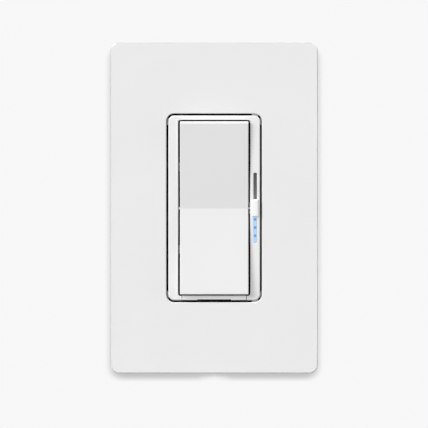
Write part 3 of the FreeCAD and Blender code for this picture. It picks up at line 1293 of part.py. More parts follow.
def make_indicator_leds():
    """The row of LEDs under the light bar."""
    members = []
    levels = (CONTROL_FRONT, total(CONTROL_FRONT, "Sizes.led_height"))
    for index in range(LED_COUNT):
        middle = f"(Sizes.led_shift + {index - (LED_COUNT - 1) / 2} * Sizes.led_pitch)"
        across = around("Sizes.slot_offset", "Sizes.led_width")
        members.append(box_piece(f"led_{index}", across, around(middle, "Sizes.led_length"), levels))
    keep("indicator_leds", join("Part::Compound", "indicator_leds", members))


def make_controller_chip():
    """The controller: a flat square package with a bevelled top."""
    body = new_body("controller_chip")
    across = around("Sizes.chip_across", "Sizes.chip_side")
    up = around("Sizes.chip_up", "Sizes.chip_side")
    top = total(CONTROL_FRONT, "Sizes.chip_height")
    add_block(body, "package", across, up, (CONTROL_FRONT, top))
    rim = outline_edges(body.Tip.Shape, top, across, up)
    bevel_edges(body, "top_bevel", "Sizes.chip_height / 4", rim)


def make_radio_module():
    """The radio: a small carrier board with a drawn shield can."""
    body = new_body("radio_module")
    across = around("Sizes.radio_across", "Sizes.radio_width")
    up = around("Sizes.radio_up", "Sizes.radio_height")
    carrier = total(CONTROL_FRONT, "Sizes.radio_carrier")
    top = total(CONTROL_FRONT, "Sizes.radio_depth")
    add_block(body, "carrier", across, up, (CONTROL_FRONT, carrier))
    can_across = around("Sizes.radio_across", "Sizes.radio_width - 2 * Sizes.can_inset")
    can_up = around("Sizes.radio_up", "Sizes.radio_height - 2 * Sizes.can_inset")
    add_block(body, "can", can_across, can_up, (carrier, top))
    bevel_edges(body, "can_bevel", "Sizes.can_edge", outline_edges(body.Tip.Shape, top, can_across, can_up))


def make_antenna():
    """The antenna: a stamped strip that stands beside the radio on two feet."""
    body = new_body("antenna")
    strip = "Sizes.antenna_strip"
    low = minus("Sizes.antenna_length / 2")
    high = "(Sizes.antenna_length / 2)"
    top = total(CONTROL_FRONT, "Sizes.antenna_height")
    places = [
        (minus(CONTROL_FRONT), low),
        (minus(top), low),
        (minus(top), high),
        (minus(CONTROL_FRONT), high),
        (minus(CONTROL_FRONT), less(high, strip)),
        (minus(less(top, strip)), less(high, strip)),
        (minus(less(top, strip)), total(low, strip)),
        (minus(CONTROL_FRONT), total(low, strip)),
    ]
    add_profile_along(body, "strip", "YZ_Plane", "Sizes.antenna_across", places, strip)


def make_board_header():
    """The header: a base on the power board with a row of square pins to the control board."""
    body = new_body("board_header")
    pins = int(number("Sizes.header_pins"))
    length = "Sizes.header_pins * Sizes.header_pitch"
    top = total(POWER_FRONT, "Sizes.header_base")
    up = around("Sizes.header_up", "Sizes.header_pitch")
    add_block(body, "base", around("Sizes.header_across", length), up, (POWER_FRONT, top))
    for index in range(pins):
        middle = f"Sizes.header_across + {index - (pins - 1) / 2} * Sizes.header_pitch"
        pin_across = around(middle, "Sizes.header_pin")
        pin_up = around("Sizes.header_up", "Sizes.header_pin")
        add_block(body, "pin", pin_across, pin_up, (less(top, "Sizes.root"), CONTROL_BACK))


# Power transistors on the strap

def make_transistors():
    """Two tabbed packages screwed to the strap over a thermal pad, with their bent leads."""
    packages = []
    leads = []
    screws = []
    mount = minus("Sizes.pad_thickness")
    across = around(minus("Sizes.package_offset"), "Sizes.package_width")
    body_start = "(Sizes.package_gap / 2)"
    body_end = total(body_start, "Sizes.package_body")
    tab_end = total(body_start, "Sizes.package_length")
    hole = total("Sizes.tab_screw_radius", "Sizes.screw_play")
    lead_level = less(mount, "Sizes.package_thickness / 2 + Sizes.lead_strip_drop")
    for end, word, place in zip(SIDES, ("lower", "upper"), tab_screw_places()):
        package = document.addObject("PartDesign::Body", f"{word}_package")
        case_up = ordered(signed(end, body_start), signed(end, body_end))
        tab_up = ordered(signed(end, less(body_end, "Sizes.root")), signed(end, tab_end))
        add_block(package, "case", across, case_up, (less(mount, "Sizes.package_thickness"), mount))
        add_block(package, "tab", across, tab_up, (less(mount, "Sizes.package_tab"), mount))
        cut_disc(package, "tab_hole", [place], hole, (less(mount, "Sizes.package_tab"), mount))
        packages.append(package)

        for index in (-1, 0, 1):
            lead = document.addObject("PartDesign::Body", f"{word}_lead")
            middle = f"(-Sizes.package_offset + {index} * Sizes.lead_strip_pitch)"
            thickness = "Sizes.lead_strip_thickness"
            outer = signed(end, "(Sizes.package_gap / 4)")
            inner = signed(end, total("Sizes.package_gap / 4", thickness))
            root = signed(end, body_start)
            places = [
                (minus(lead_level), root),
                (minus(lead_level), outer),
                (minus(POWER_FRONT), outer),
                (minus(POWER_FRONT), inner),
                (minus(less(lead_level, thickness)), inner),
                (minus(less(lead_level, thickness)), root),
            ]
            start = less(middle, "Sizes.lead_strip / 2")
            add_profile_along(lead, "strip", "YZ_Plane", start, places, "Sizes.lead_strip")
            leads.append(lead)

        screw = document.addObject("PartDesign::Body", f"{word}_tab_screw")
        seat = less(mount, "Sizes.package_tab")
        tail = less(YOKE_FRONT, "Sizes.tab_screw_recess")
        back = less(seat, "Sizes.tab_screw_thickness")
        radius = "Sizes.tab_screw_radius"
        head = "Sizes.tab_screw_head"
        shape = [("0", back), (head, back), (head, seat), (radius, seat), (radius, tail), ("0", tail)]
        turn(screw, "screw", shape, place)
        screws.append(screw)
    keep("mosfet_packages", join("Part::Compound", "mosfet_packages", packages))
    keep("mosfet_leads", join("Part::Compound", "mosfet_leads", leads))
    keep("mosfet_screws", join("Part::Compound", "mosfet_screws", screws))

    thermal = new_body("thermal_pad")
    pad_across = around(minus("Sizes.package_offset"), "Sizes.package_width + 2 * Sizes.pad_margin")
    pad_up = spread("Sizes.package_gap + 2 * Sizes.package_length + 2 * Sizes.pad_margin")
    add_block(thermal, "pad", pad_across, pad_up, (mount, "0"))
    cut_disc(thermal, "pad_holes", tab_screw_places(), hole, (mount, "0"))


# Wound and stacked pieces on the power board

def make_choke():
    """The ring choke: a ring core and one wire wound round it in open turns."""
    core = new_body("choke_core")
    centre = ("Sizes.choke_across", "Sizes.choke_up")
    front = less(POWER_BACK, "2 * Sizes.choke_wire", "Sizes.choke_wire_gap", "Sizes.choke_lift")
    back = less(front, "Sizes.choke_height")
    places = [
        ("Sizes.choke_inner", front),
        ("Sizes.choke_outer", front),
        ("Sizes.choke_outer", back),
        ("Sizes.choke_inner", back),
    ]
    turn(core, "ring", places, centre)

    winding = document.addObject("Part::Feature", "choke_winding")
    winding.Shape = choke_wire_shape(number(front), number(back))
    middle = FreeCAD.Vector(number(centre[0]), 0, number(centre[1]))
    winding.Placement = FreeCAD.Placement(middle, FreeCAD.Rotation())
    keep("choke_winding", winding)


def choke_wire_shape(front, back):
    """One unbroken eight-sided wire wound round the ring core, with a straight run over each side."""
    wire = number("Sizes.choke_wire")
    off = wire + number("Sizes.choke_wire_gap")
    inner = number("Sizes.choke_inner") - off
    outer = number("Sizes.choke_outer") + off
    near = -(front + off)
    far = -(back - off)
    step = 2 * math.pi * number("Sizes.choke_cover") / TURNS
    corners = []
    for turn_index in range(TURNS):
        for share, radius, y in ((0, outer, near), (1, outer, far), (2, inner, far), (3, inner, near)):
            angle = (turn_index + share / 4) * step
            corners.append(FreeCAD.Vector(radius * math.cos(angle), y, radius * math.sin(angle)))
    heading = (corners[1] - corners[0]).normalize()
    aside = heading.cross(FreeCAD.Vector(1, 0, 0)).normalize() * wire
    section = []
    for index in range(WIRE_SIDES):
        turned = FreeCAD.Rotation(heading, 360 * index / WIRE_SIDES).multVec(aside)
        section.append(corners[0] + turned)
    rim = Part.makePolygon(section + section[:1])
    path = Part.makePolygon(corners)
    return path.makePipeShell([rim], True, False, 1)


def make_supply_transformer():
    """The supply transformer: a closed double-window core and the winding round its middle leg."""
    core = new_body("supply_transformer")
    across = around("Sizes.core_across", "Sizes.core_width")
    up = around("Sizes.core_up", "Sizes.core_height")
    back = total(POWER_FRONT, "Sizes.core_lift")
    levels = (back, total(back, "Sizes.core_depth"))
    wall = "Sizes.core_wall"
    add_block(core, "core", across, up, levels)
    leg = "2 * Sizes.core_wall"
    window_levels = (total(back, wall), less(levels[1], wall))
    leg_low, leg_high = around("Sizes.core_across", leg)
    cut_block_through(core, "left_window", (total(across[0], wall), leg_low), up, window_levels)
    cut_block_through(core, "right_window", (leg_high, less(across[1], wall)), up, window_levels)

    winding = new_body("transformer_winding")
    gap = "Sizes.core_play"
    outer_across = (total(across[0], wall, gap), less(across[1], wall, gap))
    outer_levels = (total(window_levels[0], gap), less(window_levels[1], gap))
    bulge = around("Sizes.core_up", "Sizes.core_height + 2 * Sizes.winding_bulge")
    add_block(winding, "coil", outer_across, bulge, outer_levels)
    for level in outer_levels:
        edges = outline_edges(winding.Tip.Shape, level, outer_across, bulge)
        long_edges = [name for name in edges if runs_across(winding.Tip.Shape, name)]
        round_edges(winding, "coil_round", "Sizes.winding_round", long_edges)
    hole_across = (less(leg_low, gap), total(leg_high, gap))
    hole_up = (less(up[0], gap), total(up[1], gap))
    cut_block(winding, "leg_hole", hole_across, hole_up, outer_levels)


def runs_across(shape, name):
    """Whether a named edge runs along X."""
    box = shape.getElement(name).BoundBox
    return box.XLength > NEAR and box.ZLength < NEAR


def cut_block_through(body, label, across, up, levels):
    """Removes a window that runs up through a core, drawn on a level plane above it."""
    back, front = levels
    sketch = plane_sketch(body, label + "_sketch", "XY_Plane", up[1])
    add_rectangle(sketch, across, (minus(front), minus(back)))
    return pocket(body, label, sketch, less(up[1], up[0]))


def make_capacitors():
    """The film capacitor in its moulded box and the electrolytic capacitor in its round can."""
    film = new_body("film_capacitor")
    across = around("Sizes.film_across", "Sizes.film_width")
    up = around("Sizes.film_up", "Sizes.film_height")
    front = less(POWER_BACK, "Sizes.part_lift")
    back = less(front, "Sizes.film_depth")
    add_block(film, "case", across, up, (back, front))
    bevel_edges(film, "bevel", "Sizes.film_edge", outline_edges(film.Tip.Shape, back, across, up))
    for side in SIDES:
        place = (total("Sizes.film_across", signed(side, "Sizes.film_pin")), "Sizes.film_up")
        add_pin(film, place, (less(front, "Sizes.root"), POWER_BACK))

    can = new_body("electrolytic_capacitor")
    centre = ("Sizes.can_across", "Sizes.can_up")
    foot = total(POWER_FRONT, "Sizes.part_lift")
    top = total(foot, "Sizes.can_length")
    radius = "Sizes.can_radius"
    places = [
        ("0", foot),
        (radius, foot),
        (radius, less(top, "Sizes.can_bevel")),
        (less(radius, "Sizes.can_bevel"), top),
        ("0", top),
    ]
    turn(can, "can", places, centre)
    for side in SIDES:
        place = (total("Sizes.can_across", signed(side, "Sizes.can_pin")), "Sizes.can_up")
        add_pin(can, place, (POWER_FRONT, total(foot, "Sizes.root")))


def add_pin(body, place, levels):
    """Adds one square pin of a board part between two levels."""
    add_block(body, "pin", around(place[0], "Sizes.part_pin"), around(place[1], "Sizes.part_pin"), levels)


def make_protection():
    """The varistor's coated disc and the fuse's capped tube, on the power board's back."""
    varistor = new_body("varistor")
    middle = less("Sizes.varistor_across", half("Sizes.varistor_thickness"))
    axis = total(minus(POWER_BACK), "Sizes.varistor_radius", "Sizes.varistor_lift")
    sketch = plane_sketch(varistor, "disc_sketch", "YZ_Plane", middle)
    add_circle(sketch, (axis, "Sizes.varistor_up"), "Sizes.varistor_radius")
    pad(varistor, "disc", sketch, "Sizes.varistor_thickness")
    for side in SIDES:
        place = ("Sizes.varistor_across", total("Sizes.varistor_up", signed(side, "Sizes.varistor_pin")))
        add_pin(varistor, place, (less(POWER_BACK, "Sizes.varistor_pin_length"), POWER_BACK))

    fuse = new_body("fuse")
    level = total(minus(POWER_BACK), "Sizes.fuse_radius", "Sizes.fuse_lift")
    low = less("Sizes.fuse_up", half("Sizes.fuse_length"))
    high = total("Sizes.fuse_up", half("Sizes.fuse_length"))
    sketch = plane_sketch(fuse, "tube_sketch", "XY_Plane", low)
    add_circle(sketch, ("Sizes.fuse_across", level), "Sizes.fuse_radius - Sizes.fuse_cap_wall")
    pad(fuse, "tube", sketch, "Sizes.fuse_length")
    for start in (low, less(high, "Sizes.fuse_cap")):
        sketch = plane_sketch(fuse, "cap_sketch", "XY_Plane", start)
        add_circle(sketch, ("Sizes.fuse_across", level), "Sizes.fuse_radius")
        pad(fuse, "cap", sketch, "Sizes.fuse_cap")
        place = ("Sizes.fuse_across", total(start, "Sizes.fuse_cap / 2"))
        add_pin(fuse, place, (less(POWER_BACK, "Sizes.fuse_radius"), POWER_BACK))


# Service switch contacts

def make_air_gap_contacts():
    """The fixed contact and the leaf, two bent strips on the power board's tongue."""
    strip = "Sizes.contact_thickness"
    button = "Sizes.contact_button"
    blade_back = less(BLADE_LEVEL, "Sizes.blade_thickness / 2")
    leaf_front = less(blade_back, "Sizes.bar_play")
    leaf_back = less(leaf_front, strip)
    meeting = less(leaf_back, button)
    fixed_front = less(meeting, button)
    fixed_back = less(fixed_front, strip)
    up = around("Sizes.contact_up", "Sizes.contact_width")
    reach = "Sizes.contact_reach"
    overlap = "Sizes.contact_width"

    leaf = new_body("air_gap_leaf")
    places = [
        (reach, minus(POWER_FRONT)),
        (reach, minus(leaf_front)),
        (minus(overlap), minus(leaf_front)),
        (minus(overlap), minus(leaf_back)),
        (less(reach, strip), minus(leaf_back)),
        (less(reach, strip), minus(POWER_FRONT)),
    ]
    add_profile_along(leaf, "strip", "XY_Plane", up[0], places, "Sizes.contact_width")
    add_disc(leaf, "button", [("0", "Sizes.contact_up")], "Sizes.contact_width / 3", (meeting, leaf_back))

    fixed = new_body("air_gap_contact")
    places = [
        (minus(reach), minus(POWER_FRONT)),
        (minus(reach), minus(fixed_front)),
        (overlap, minus(fixed_front)),
        (overlap, minus(fixed_back)),
        (total(minus(reach), strip), minus(fixed_back)),
        (total(minus(reach), strip), minus(POWER_FRONT)),
    ]
    add_profile_along(fixed, "strip", "XY_Plane", up[0], places, "Sizes.contact_width")
    add_disc(fixed, "button", [("0", "Sizes.contact_up")], "Sizes.contact_width / 3", (fixed_front, meeting))


# The whole model, its checks and its files

make_wallplate_cover()
make_wallplate_adapter()
make_adapter_screws()
make_bezel()
make_paddle()
make_service_switch_bar()
make_slider()
make_slide_pot_body()
make_light_bar()
make_yoke()
make_ground_lug()
make_rear_housing()
make_housing_screws()
make_control_board()
make_power_board()
make_domes()
make_indicator_leds()
make_controller_chip()
make_radio_module()
make_antenna()
make_board_header()
make_transistors()
make_choke()
make_supply_transformer()
make_capacitors()
make_protection()
make_air_gap_contacts()
document.recompute()

for item in document.Objects:
    if "Invalid" in item.State or "Error" in item.State:
        raise RuntimeError(f"{item.Label} could not be built: {item.State}")
for name, piece in sub_parts.items():
    if piece.Shape.isNull() or not piece.Shape.isValid():
        raise RuntimeError(f"{name} has no valid shape")

os.makedirs("parts", exist_ok=True)
for name, piece in sub_parts.items():
    piece.Shape.exportStep(f"parts/{name}.step")
    print(f"{name}: {len(piece.Shape.Solids)} solid(s), {piece.Shape.Volume:.1f} mm3")
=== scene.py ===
"""Looks of a wall-mounted smart dimmer: its finishes, its lit level bar and the studio round it.

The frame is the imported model: +X runs right, +Z runs up, the front faces -Y and the wall is y = 0.
Lengths are in metres, and values whose names end in _mm are in millimetres.
"""

import logging
import math
from abc import ABC, abstractmethod
from dataclasses import dataclass
from enum import Enum

import bmesh
import bpy
from mathutils import Matrix, Vector


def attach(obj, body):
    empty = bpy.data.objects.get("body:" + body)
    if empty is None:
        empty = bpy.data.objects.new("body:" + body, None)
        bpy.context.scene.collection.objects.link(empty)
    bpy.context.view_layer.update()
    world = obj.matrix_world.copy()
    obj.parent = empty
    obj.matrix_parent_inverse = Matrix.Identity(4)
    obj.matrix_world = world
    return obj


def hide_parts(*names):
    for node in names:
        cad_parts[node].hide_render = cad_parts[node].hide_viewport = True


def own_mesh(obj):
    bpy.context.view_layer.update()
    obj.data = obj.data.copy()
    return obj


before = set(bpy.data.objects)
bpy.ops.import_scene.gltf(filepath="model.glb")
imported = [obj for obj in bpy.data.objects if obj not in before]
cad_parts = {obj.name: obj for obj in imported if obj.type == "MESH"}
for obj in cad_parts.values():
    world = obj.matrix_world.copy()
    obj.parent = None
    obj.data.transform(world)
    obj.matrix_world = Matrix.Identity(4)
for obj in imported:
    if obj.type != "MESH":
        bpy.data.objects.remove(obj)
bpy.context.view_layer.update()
LOG = logging.getLogger("dimmer")
MM = 0.001
# Nearly all of a noise texture's values lie between these two.
NOISE_SPAN = (0.3, 0.7)
# The way the plate's front faces.
FRONT = (0.0, -1.0, 0.0)


# Colour, nodes and pieces

def linear(code: str) -> tuple[float, float, float, float]:
    """Turns an sRGB hex colour to linear light.

    Args:
        code: The colour as a mark and six hex digits.

    Returns:
        Red, green, blue and an alpha of one.
    """
    digits = code.lstrip("#")
    parts = [int(digits[place:place + 2], 16) / 255 for place in (0, 2, 4)]
    red, green, blue = (
        part / 12.92 if part <= 0.04045 else ((part + 0.055) / 1.055) ** 2.4
        for part in parts
    )
    return red, green, blue, 1.0


def per_metre(size_mm: float) -> float:
    """How many patterns of that size fit in a metre, which is a texture's scale."""
    return 1.0 / (size_mm * MM)


def new_tree(owner: bpy.types.Material | bpy.types.World) -> bpy.types.NodeTree:
    """Turns nodes on for a material or a world, and empties them.

    Args:
        owner: The material or the world.

    Returns:
        Its empty node tree.
    """
    owner.use_nodes = True
    owner.node_tree.nodes.clear()
    return owner.node_tree


def add_node(
    tree: bpy.types.NodeTree,
    kind: str,
    inputs: dict[str | int, object] | None = None,
    **settings: object,
) -> bpy.types.Node:
    """Adds one node, sets it up and fills its inputs.

    Args:
        tree: The node tree that gets the node.
        kind: The node's type name.
        inputs: For each input, by its name or number, a value or the output that feeds it.
        **settings: The node's own properties.

    Returns:
        The new node.
    """
    node = tree.nodes.new(kind)
    for name, value in settings.items():
        setattr(node, name, value)
    for name, value in (inputs or {}).items():
        if isinstance(value, bpy.types.NodeSocket):
            tree.links.new(value, node.inputs[name])
        else:
            node.inputs[name].default_value = value
    return node


def dress(node_name: str, material: bpy.types.Material) -> None:
    """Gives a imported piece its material.

    Args:
        node_name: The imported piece.
        material: What all of its slots get.
    """
    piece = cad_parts[node_name]
    for index in range(len(piece.data.materials)):
        piece.data.materials[index] = material
    LOG.info("%s: %s", node_name, material.name)


# Finishes

@dataclass(frozen=True)
class GapShade:
    """Painted shade: near-black painted deep in the joints between the face's pieces, where shade
    falls.

    It deepens as a place sees less of its surroundings, from starts_at down to darkest_at. Only
    the zone round the face has it, and the strip of the slider's slot, open to view, has none.
    """

    # The colour of the painted shade in the joints.
    dark: str = "#060607"
    reach_mm: float = 40.0
    starts_at: float = 0.5
    darkest_at: float = 0.3
    rays: int = 12
    zone_mm: tuple[float, float] = (18.5, 35.5)
    strip_middle_mm: float = 14.75
    strip_half_mm: float = 1.15

    def zone(
        self, tree: bpy.types.NodeTree, place: bpy.types.NodeSocket
    ) -> bpy.types.NodeSocket:
        """Where the shade may be: round the face, but not in the slider's slot.

        Args:
            tree: The material's node tree.
            place: The place on the piece.

        Returns:
            1 there, and 0 or less elsewhere.
        """
        sides = add_node(tree, "ShaderNodeSeparateXYZ", {"Vector": place})
        bands = (
            ("X", 0.0, self.zone_mm[0]),
            ("Z", 0.0, self.zone_mm[1]),
            ("X", self.strip_middle_mm, self.strip_half_mm),
        )
        across, up, strip = (
            add_node(
                tree,
                "ShaderNodeMath",
                {0: sides.outputs[axis], 1: middle_mm * MM, 2: half_mm * MM},
                operation="COMPARE",
            ).outputs["Value"]
            for axis, middle_mm, half_mm in bands
        )
        face = add_node(tree, "ShaderNodeMath", {0: across, 1: up}, operation="MULTIPLY")
        left_over = add_node(
            tree, "ShaderNodeMath", {0: face.outputs["Value"], 1: strip}, operation="SUBTRACT"
        )
        return left_over.outputs["Value"]

    def over(
        self,
        tree: bpy.types.NodeTree,
        place: bpy.types.NodeSocket,
        colour: bpy.types.NodeSocket,
    ) -> bpy.types.NodeSocket:
        """Paints shade into a colour: darkens it to near-black where the joints are.

        Args:
            tree: The material's node tree.
            place: The place on the piece.
            colour: The surface's own colour.

        Returns:
            The colour that the shader gets.
        """
        surroundings = add_node(
            tree,
            "ShaderNodeAmbientOcclusion",
            {"Distance": self.reach_mm * MM},
            samples=self.rays,
        )
        closed_in = add_node(
            tree,
            "ShaderNodeMapRange",
            {
                "Value": surroundings.outputs["AO"],
                "From Min": self.starts_at,
                "From Max": self.darkest_at,
            },
        )
        share = add_node(
            tree,
            "ShaderNodeMath",
            {0: closed_in.outputs["Result"], 1: self.zone(tree, place)},
            operation="MULTIPLY",
        )
        mix = add_node(
            tree,
            "ShaderNodeMix",
            {0: share.outputs["Value"], 6: colour, 7: linear(self.dark)},
            data_type="RGBA",
        )
        return mix.outputs[2]


# Painted shade for the joints round the face, shared by the face's materials.
FACE_GAP_PAINTED_SHADE = GapShade()


@dataclass(frozen=True)
class Finish(ABC):
    """One material of the switch, named for what it is and how its surface was made."""

    name: str

    @abstractmethod
    def surface(
        self, tree: bpy.types.NodeTree, place: bpy.types.NodeSocket
    ) -> bpy.types.NodeSocket:
        """Draws the surface.

        Args:
            tree: The material's node tree.
            place: The place on the piece.

        Returns:
            The shader's output.
        """

    def make(self) -> bpy.types.Material:
        """Makes the material.

        Returns:
            The material, under the finish's name.
        """
        material = bpy.data.materials.new(self.name)
        tree = new_tree(material)
        place = add_node(tree, "ShaderNodeTexCoord").outputs["Object"]
        add_node(tree, "ShaderNodeOutputMaterial", {"Surface": self.surface(tree, place)})
        return material


@dataclass(frozen=True)
class GrainedFinish(Finish):
    """A finish whose colour drifts between two shades, and whose gloss breaks up with its grain."""

    colour: str
    drift: str
    roughness: float

    def drifting(
        self,
        tree: bpy.types.NodeTree,
        place: bpy.types.NodeSocket,
        patch_mm: float,
        detail: float,
    ) -> bpy.types.NodeSocket:
        """The colour, which drifts from patch to patch.

        Args:
            tree: The material's node tree.
            place: The place on the piece.
            patch_mm: How large the patches are.
            detail: How finely their edges break up.

        Returns:
            The colour's output.
        """
        cloud = add_node(
            tree,
            "ShaderNodeTexNoise",
            {"Vector": place, "Scale": per_metre(patch_mm), "Detail": detail},
        )
        patches = add_node(
            tree,
            "ShaderNodeMapRange",
            {
                "Value": cloud.outputs["Fac"],
                "From Min": NOISE_SPAN[0],
                "From Max": NOISE_SPAN[1],
            },
        )
        mix = add_node(
            tree,
            "ShaderNodeMix",
            {0: patches.outputs["Result"], 6: linear(self.colour), 7: linear(self.drift)},
            data_type="RGBA",
        )
        return mix.outputs[2]

    def broken_up(
        self,
        tree: bpy.types.NodeTree,
        grain: bpy.types.NodeSocket,
        smoother: float,
        rougher: float,
    ) -> bpy.types.NodeSocket:
        """The roughness, which follows the grain.

        Args:
            tree: The material's node tree.
            grain: The grain's height, from a noise texture.
            smoother: How much less rough the grain's low places are.
            rougher: How much rougher its high places are.

        Returns:
            The roughness's output.
        """
        roughness = add_node(
            tree,
            "ShaderNodeMapRange",
            {
                "Value": grain,
                "From Min": NOISE_SPAN[0],
                "From Max": NOISE_SPAN[1],
                "To Min": self.roughness - smoother,
                "To Max": self.roughness + rougher,
            },
        )
        return roughness.outputs["Result"]


@dataclass(frozen=True)
class MouldedPlastic(GrainedFinish):
    """Injection-moulded plastic: an even colour under the fine grain of a spark-eroded mould.

    The grain breaks up highlights, and the colour drifts a little, as it does with the melt's
    flow. The grain is drawn coarser than the mould's own 0.05 mm or so, so that it shows.
    Past crisp_mm, across and up from the middle, an outer edge reads as crisp: its small round
    takes the front face's shade.
    """

    grain_mm: float = 0.35
    grain_depth_mm: float = 0.004
    grain_detail: float = 3.0
    smoother: float = 0.04
    rougher: float = 0.05
    flow_mm: float = 24.0
    flow_detail: float = 2.0
    ior: float = 1.49
    painted_gap_shade: GapShade | None = None
    crisp_mm: tuple[float, float] | None = None
    crisp_level_mm: float = 7.2

    def lie(
        self, tree: bpy.types.NodeTree, place: bpy.types.NodeSocket
    ) -> bpy.types.NodeSocket:
        """The way the surface faces, before its grain.

        Args:
            tree: The material's node tree.
            place: The place on the piece.

        Returns:
            The normal.
        """
        normal = add_node(tree, "ShaderNodeNewGeometry").outputs["Normal"]
        if self.crisp_mm is None:
            return normal
        reach = add_node(tree, "ShaderNodeVectorMath", {0: place}, operation="ABSOLUTE")
        sides = add_node(tree, "ShaderNodeSeparateXYZ", {"Vector": reach.outputs["Vector"]})
        across, up, level = (
            add_node(
                tree,
                "ShaderNodeMath",
                {0: sides.outputs[axis], 1: limit_mm * MM},
                operation="GREATER_THAN",
            ).outputs["Value"]
            for axis, limit_mm in zip("XZY", (*self.crisp_mm, self.crisp_level_mm))
        )
        edge = add_node(tree, "ShaderNodeMath", {0: across, 1: up}, operation="MAXIMUM")
        crisp = add_node(
            tree, "ShaderNodeMath", {0: edge.outputs["Value"], 1: level}, operation="MULTIPLY"
        )
        mix = add_node(
            tree,
            "ShaderNodeMix",
            {0: crisp.outputs["Value"], 4: normal, 5: FRONT},
            data_type="VECTOR",
        )
        return mix.outputs[1]

    def surface(
        self, tree: bpy.types.NodeTree, place: bpy.types.NodeSocket
    ) -> bpy.types.NodeSocket:
        """Draws the plastic.

        Args:
            tree: The material's node tree.
            place: The place on the piece.

        Returns:
            The shader's output.
        """
        colour = self.drifting(tree, place, self.flow_mm, self.flow_detail)
        # Painted shade: the colour goes near-black deep in the joints round the face.
        if self.painted_gap_shade:
            colour = self.painted_gap_shade.over(tree, place, colour)
        grain = add_node(
            tree,
            "ShaderNodeTexNoise",
            {"Vector": place, "Scale": per_metre(self.grain_mm), "Detail": self.grain_detail},
        ).outputs["Fac"]
        relief = add_node(
            tree,
            "ShaderNodeBump",
            {
                "Height": grain,
                "Distance": self.grain_depth_mm * MM,
                "Normal": self.lie(tree, place),
            },
        )
        shader = add_node(
            tree,
            "ShaderNodeBsdfPrincipled",
            {
                "Base Color": colour,
                "Roughness": self.broken_up(tree, grain, self.smoother, self.rougher),
                "Normal": relief.outputs["Normal"],
                "IOR": self.ior,
            },
        )
        return shader.outputs["BSDF"]


class Run(Enum):
    """Which way a metal's fine scratches run: each axis is 1 where they are short."""

    ALONG_X = (0.0, 1.0, 1.0)
    ALONG_Z = (1.0, 1.0, 0.0)
    NO_WAY = (1.0, 1.0, 1.0)


@dataclass(frozen=True)
class WorkedMetal(GrainedFinish):
    """Sheet, wire or turned metal: a plated or tumbled skin, finely scratched and faintly patchy.

    The scratches draw highlights out along their run, and the patches vary as handled stock
    does. The scratches are drawn coarser than real ones, so that they show.
    """

    run: Run = Run.NO_WAY
    scratch_mm: float = 0.25
    scratch_length_mm: float = 5.0
    scratch_depth_mm: float = 0.002
    scratch_detail: float = 4.0
    smoother: float = 0.08
    rougher: float = 0.1
    patch_mm: float = 6.0
    patch_detail: float = 3.0
    painted_gap_shade: GapShade | None = None

    def surface(
        self, tree: bpy.types.NodeTree, place: bpy.types.NodeSocket
    ) -> bpy.types.NodeSocket:
        """Draws the metal.

        Args:
            tree: The material's node tree.
            place: The place on the piece.

        Returns:
            The shader's output.
        """
        colour = self.drifting(tree, place, self.patch_mm, self.patch_detail)
        # Painted shade: the colour goes near-black deep in the joints round the face.
        if self.painted_gap_shade:
            colour = self.painted_gap_shade.over(tree, place, colour)
        longest = self.scratch_mm / self.scratch_length_mm
        stretch = tuple(longest + short * (1.0 - longest) for short in self.run.value)
        drawn_out = add_node(tree, "ShaderNodeMapping", {"Vector": place, "Scale": stretch})
        scratches = add_node(
            tree,
            "ShaderNodeTexNoise",
            {
                "Vector": drawn_out.outputs["Vector"],
                "Scale": per_metre(self.scratch_mm),
                "Detail": self.scratch_detail,
            },
        ).outputs["Fac"]
        relief = add_node(
            tree,
            "ShaderNodeBump",
            {"Height": scratches, "Distance": self.scratch_depth_mm * MM},
        )
        shader = add_node(
            tree,
            "ShaderNodeBsdfPrincipled",
            {
                "Base Color": colour,
                "Metallic": 1.0,
                "Roughness": self.broken_up(tree, scratches, self.smoother, self.rougher),
                "Normal": relief.outputs["Normal"],
            },
        )
        return shader.outputs["BSDF"]


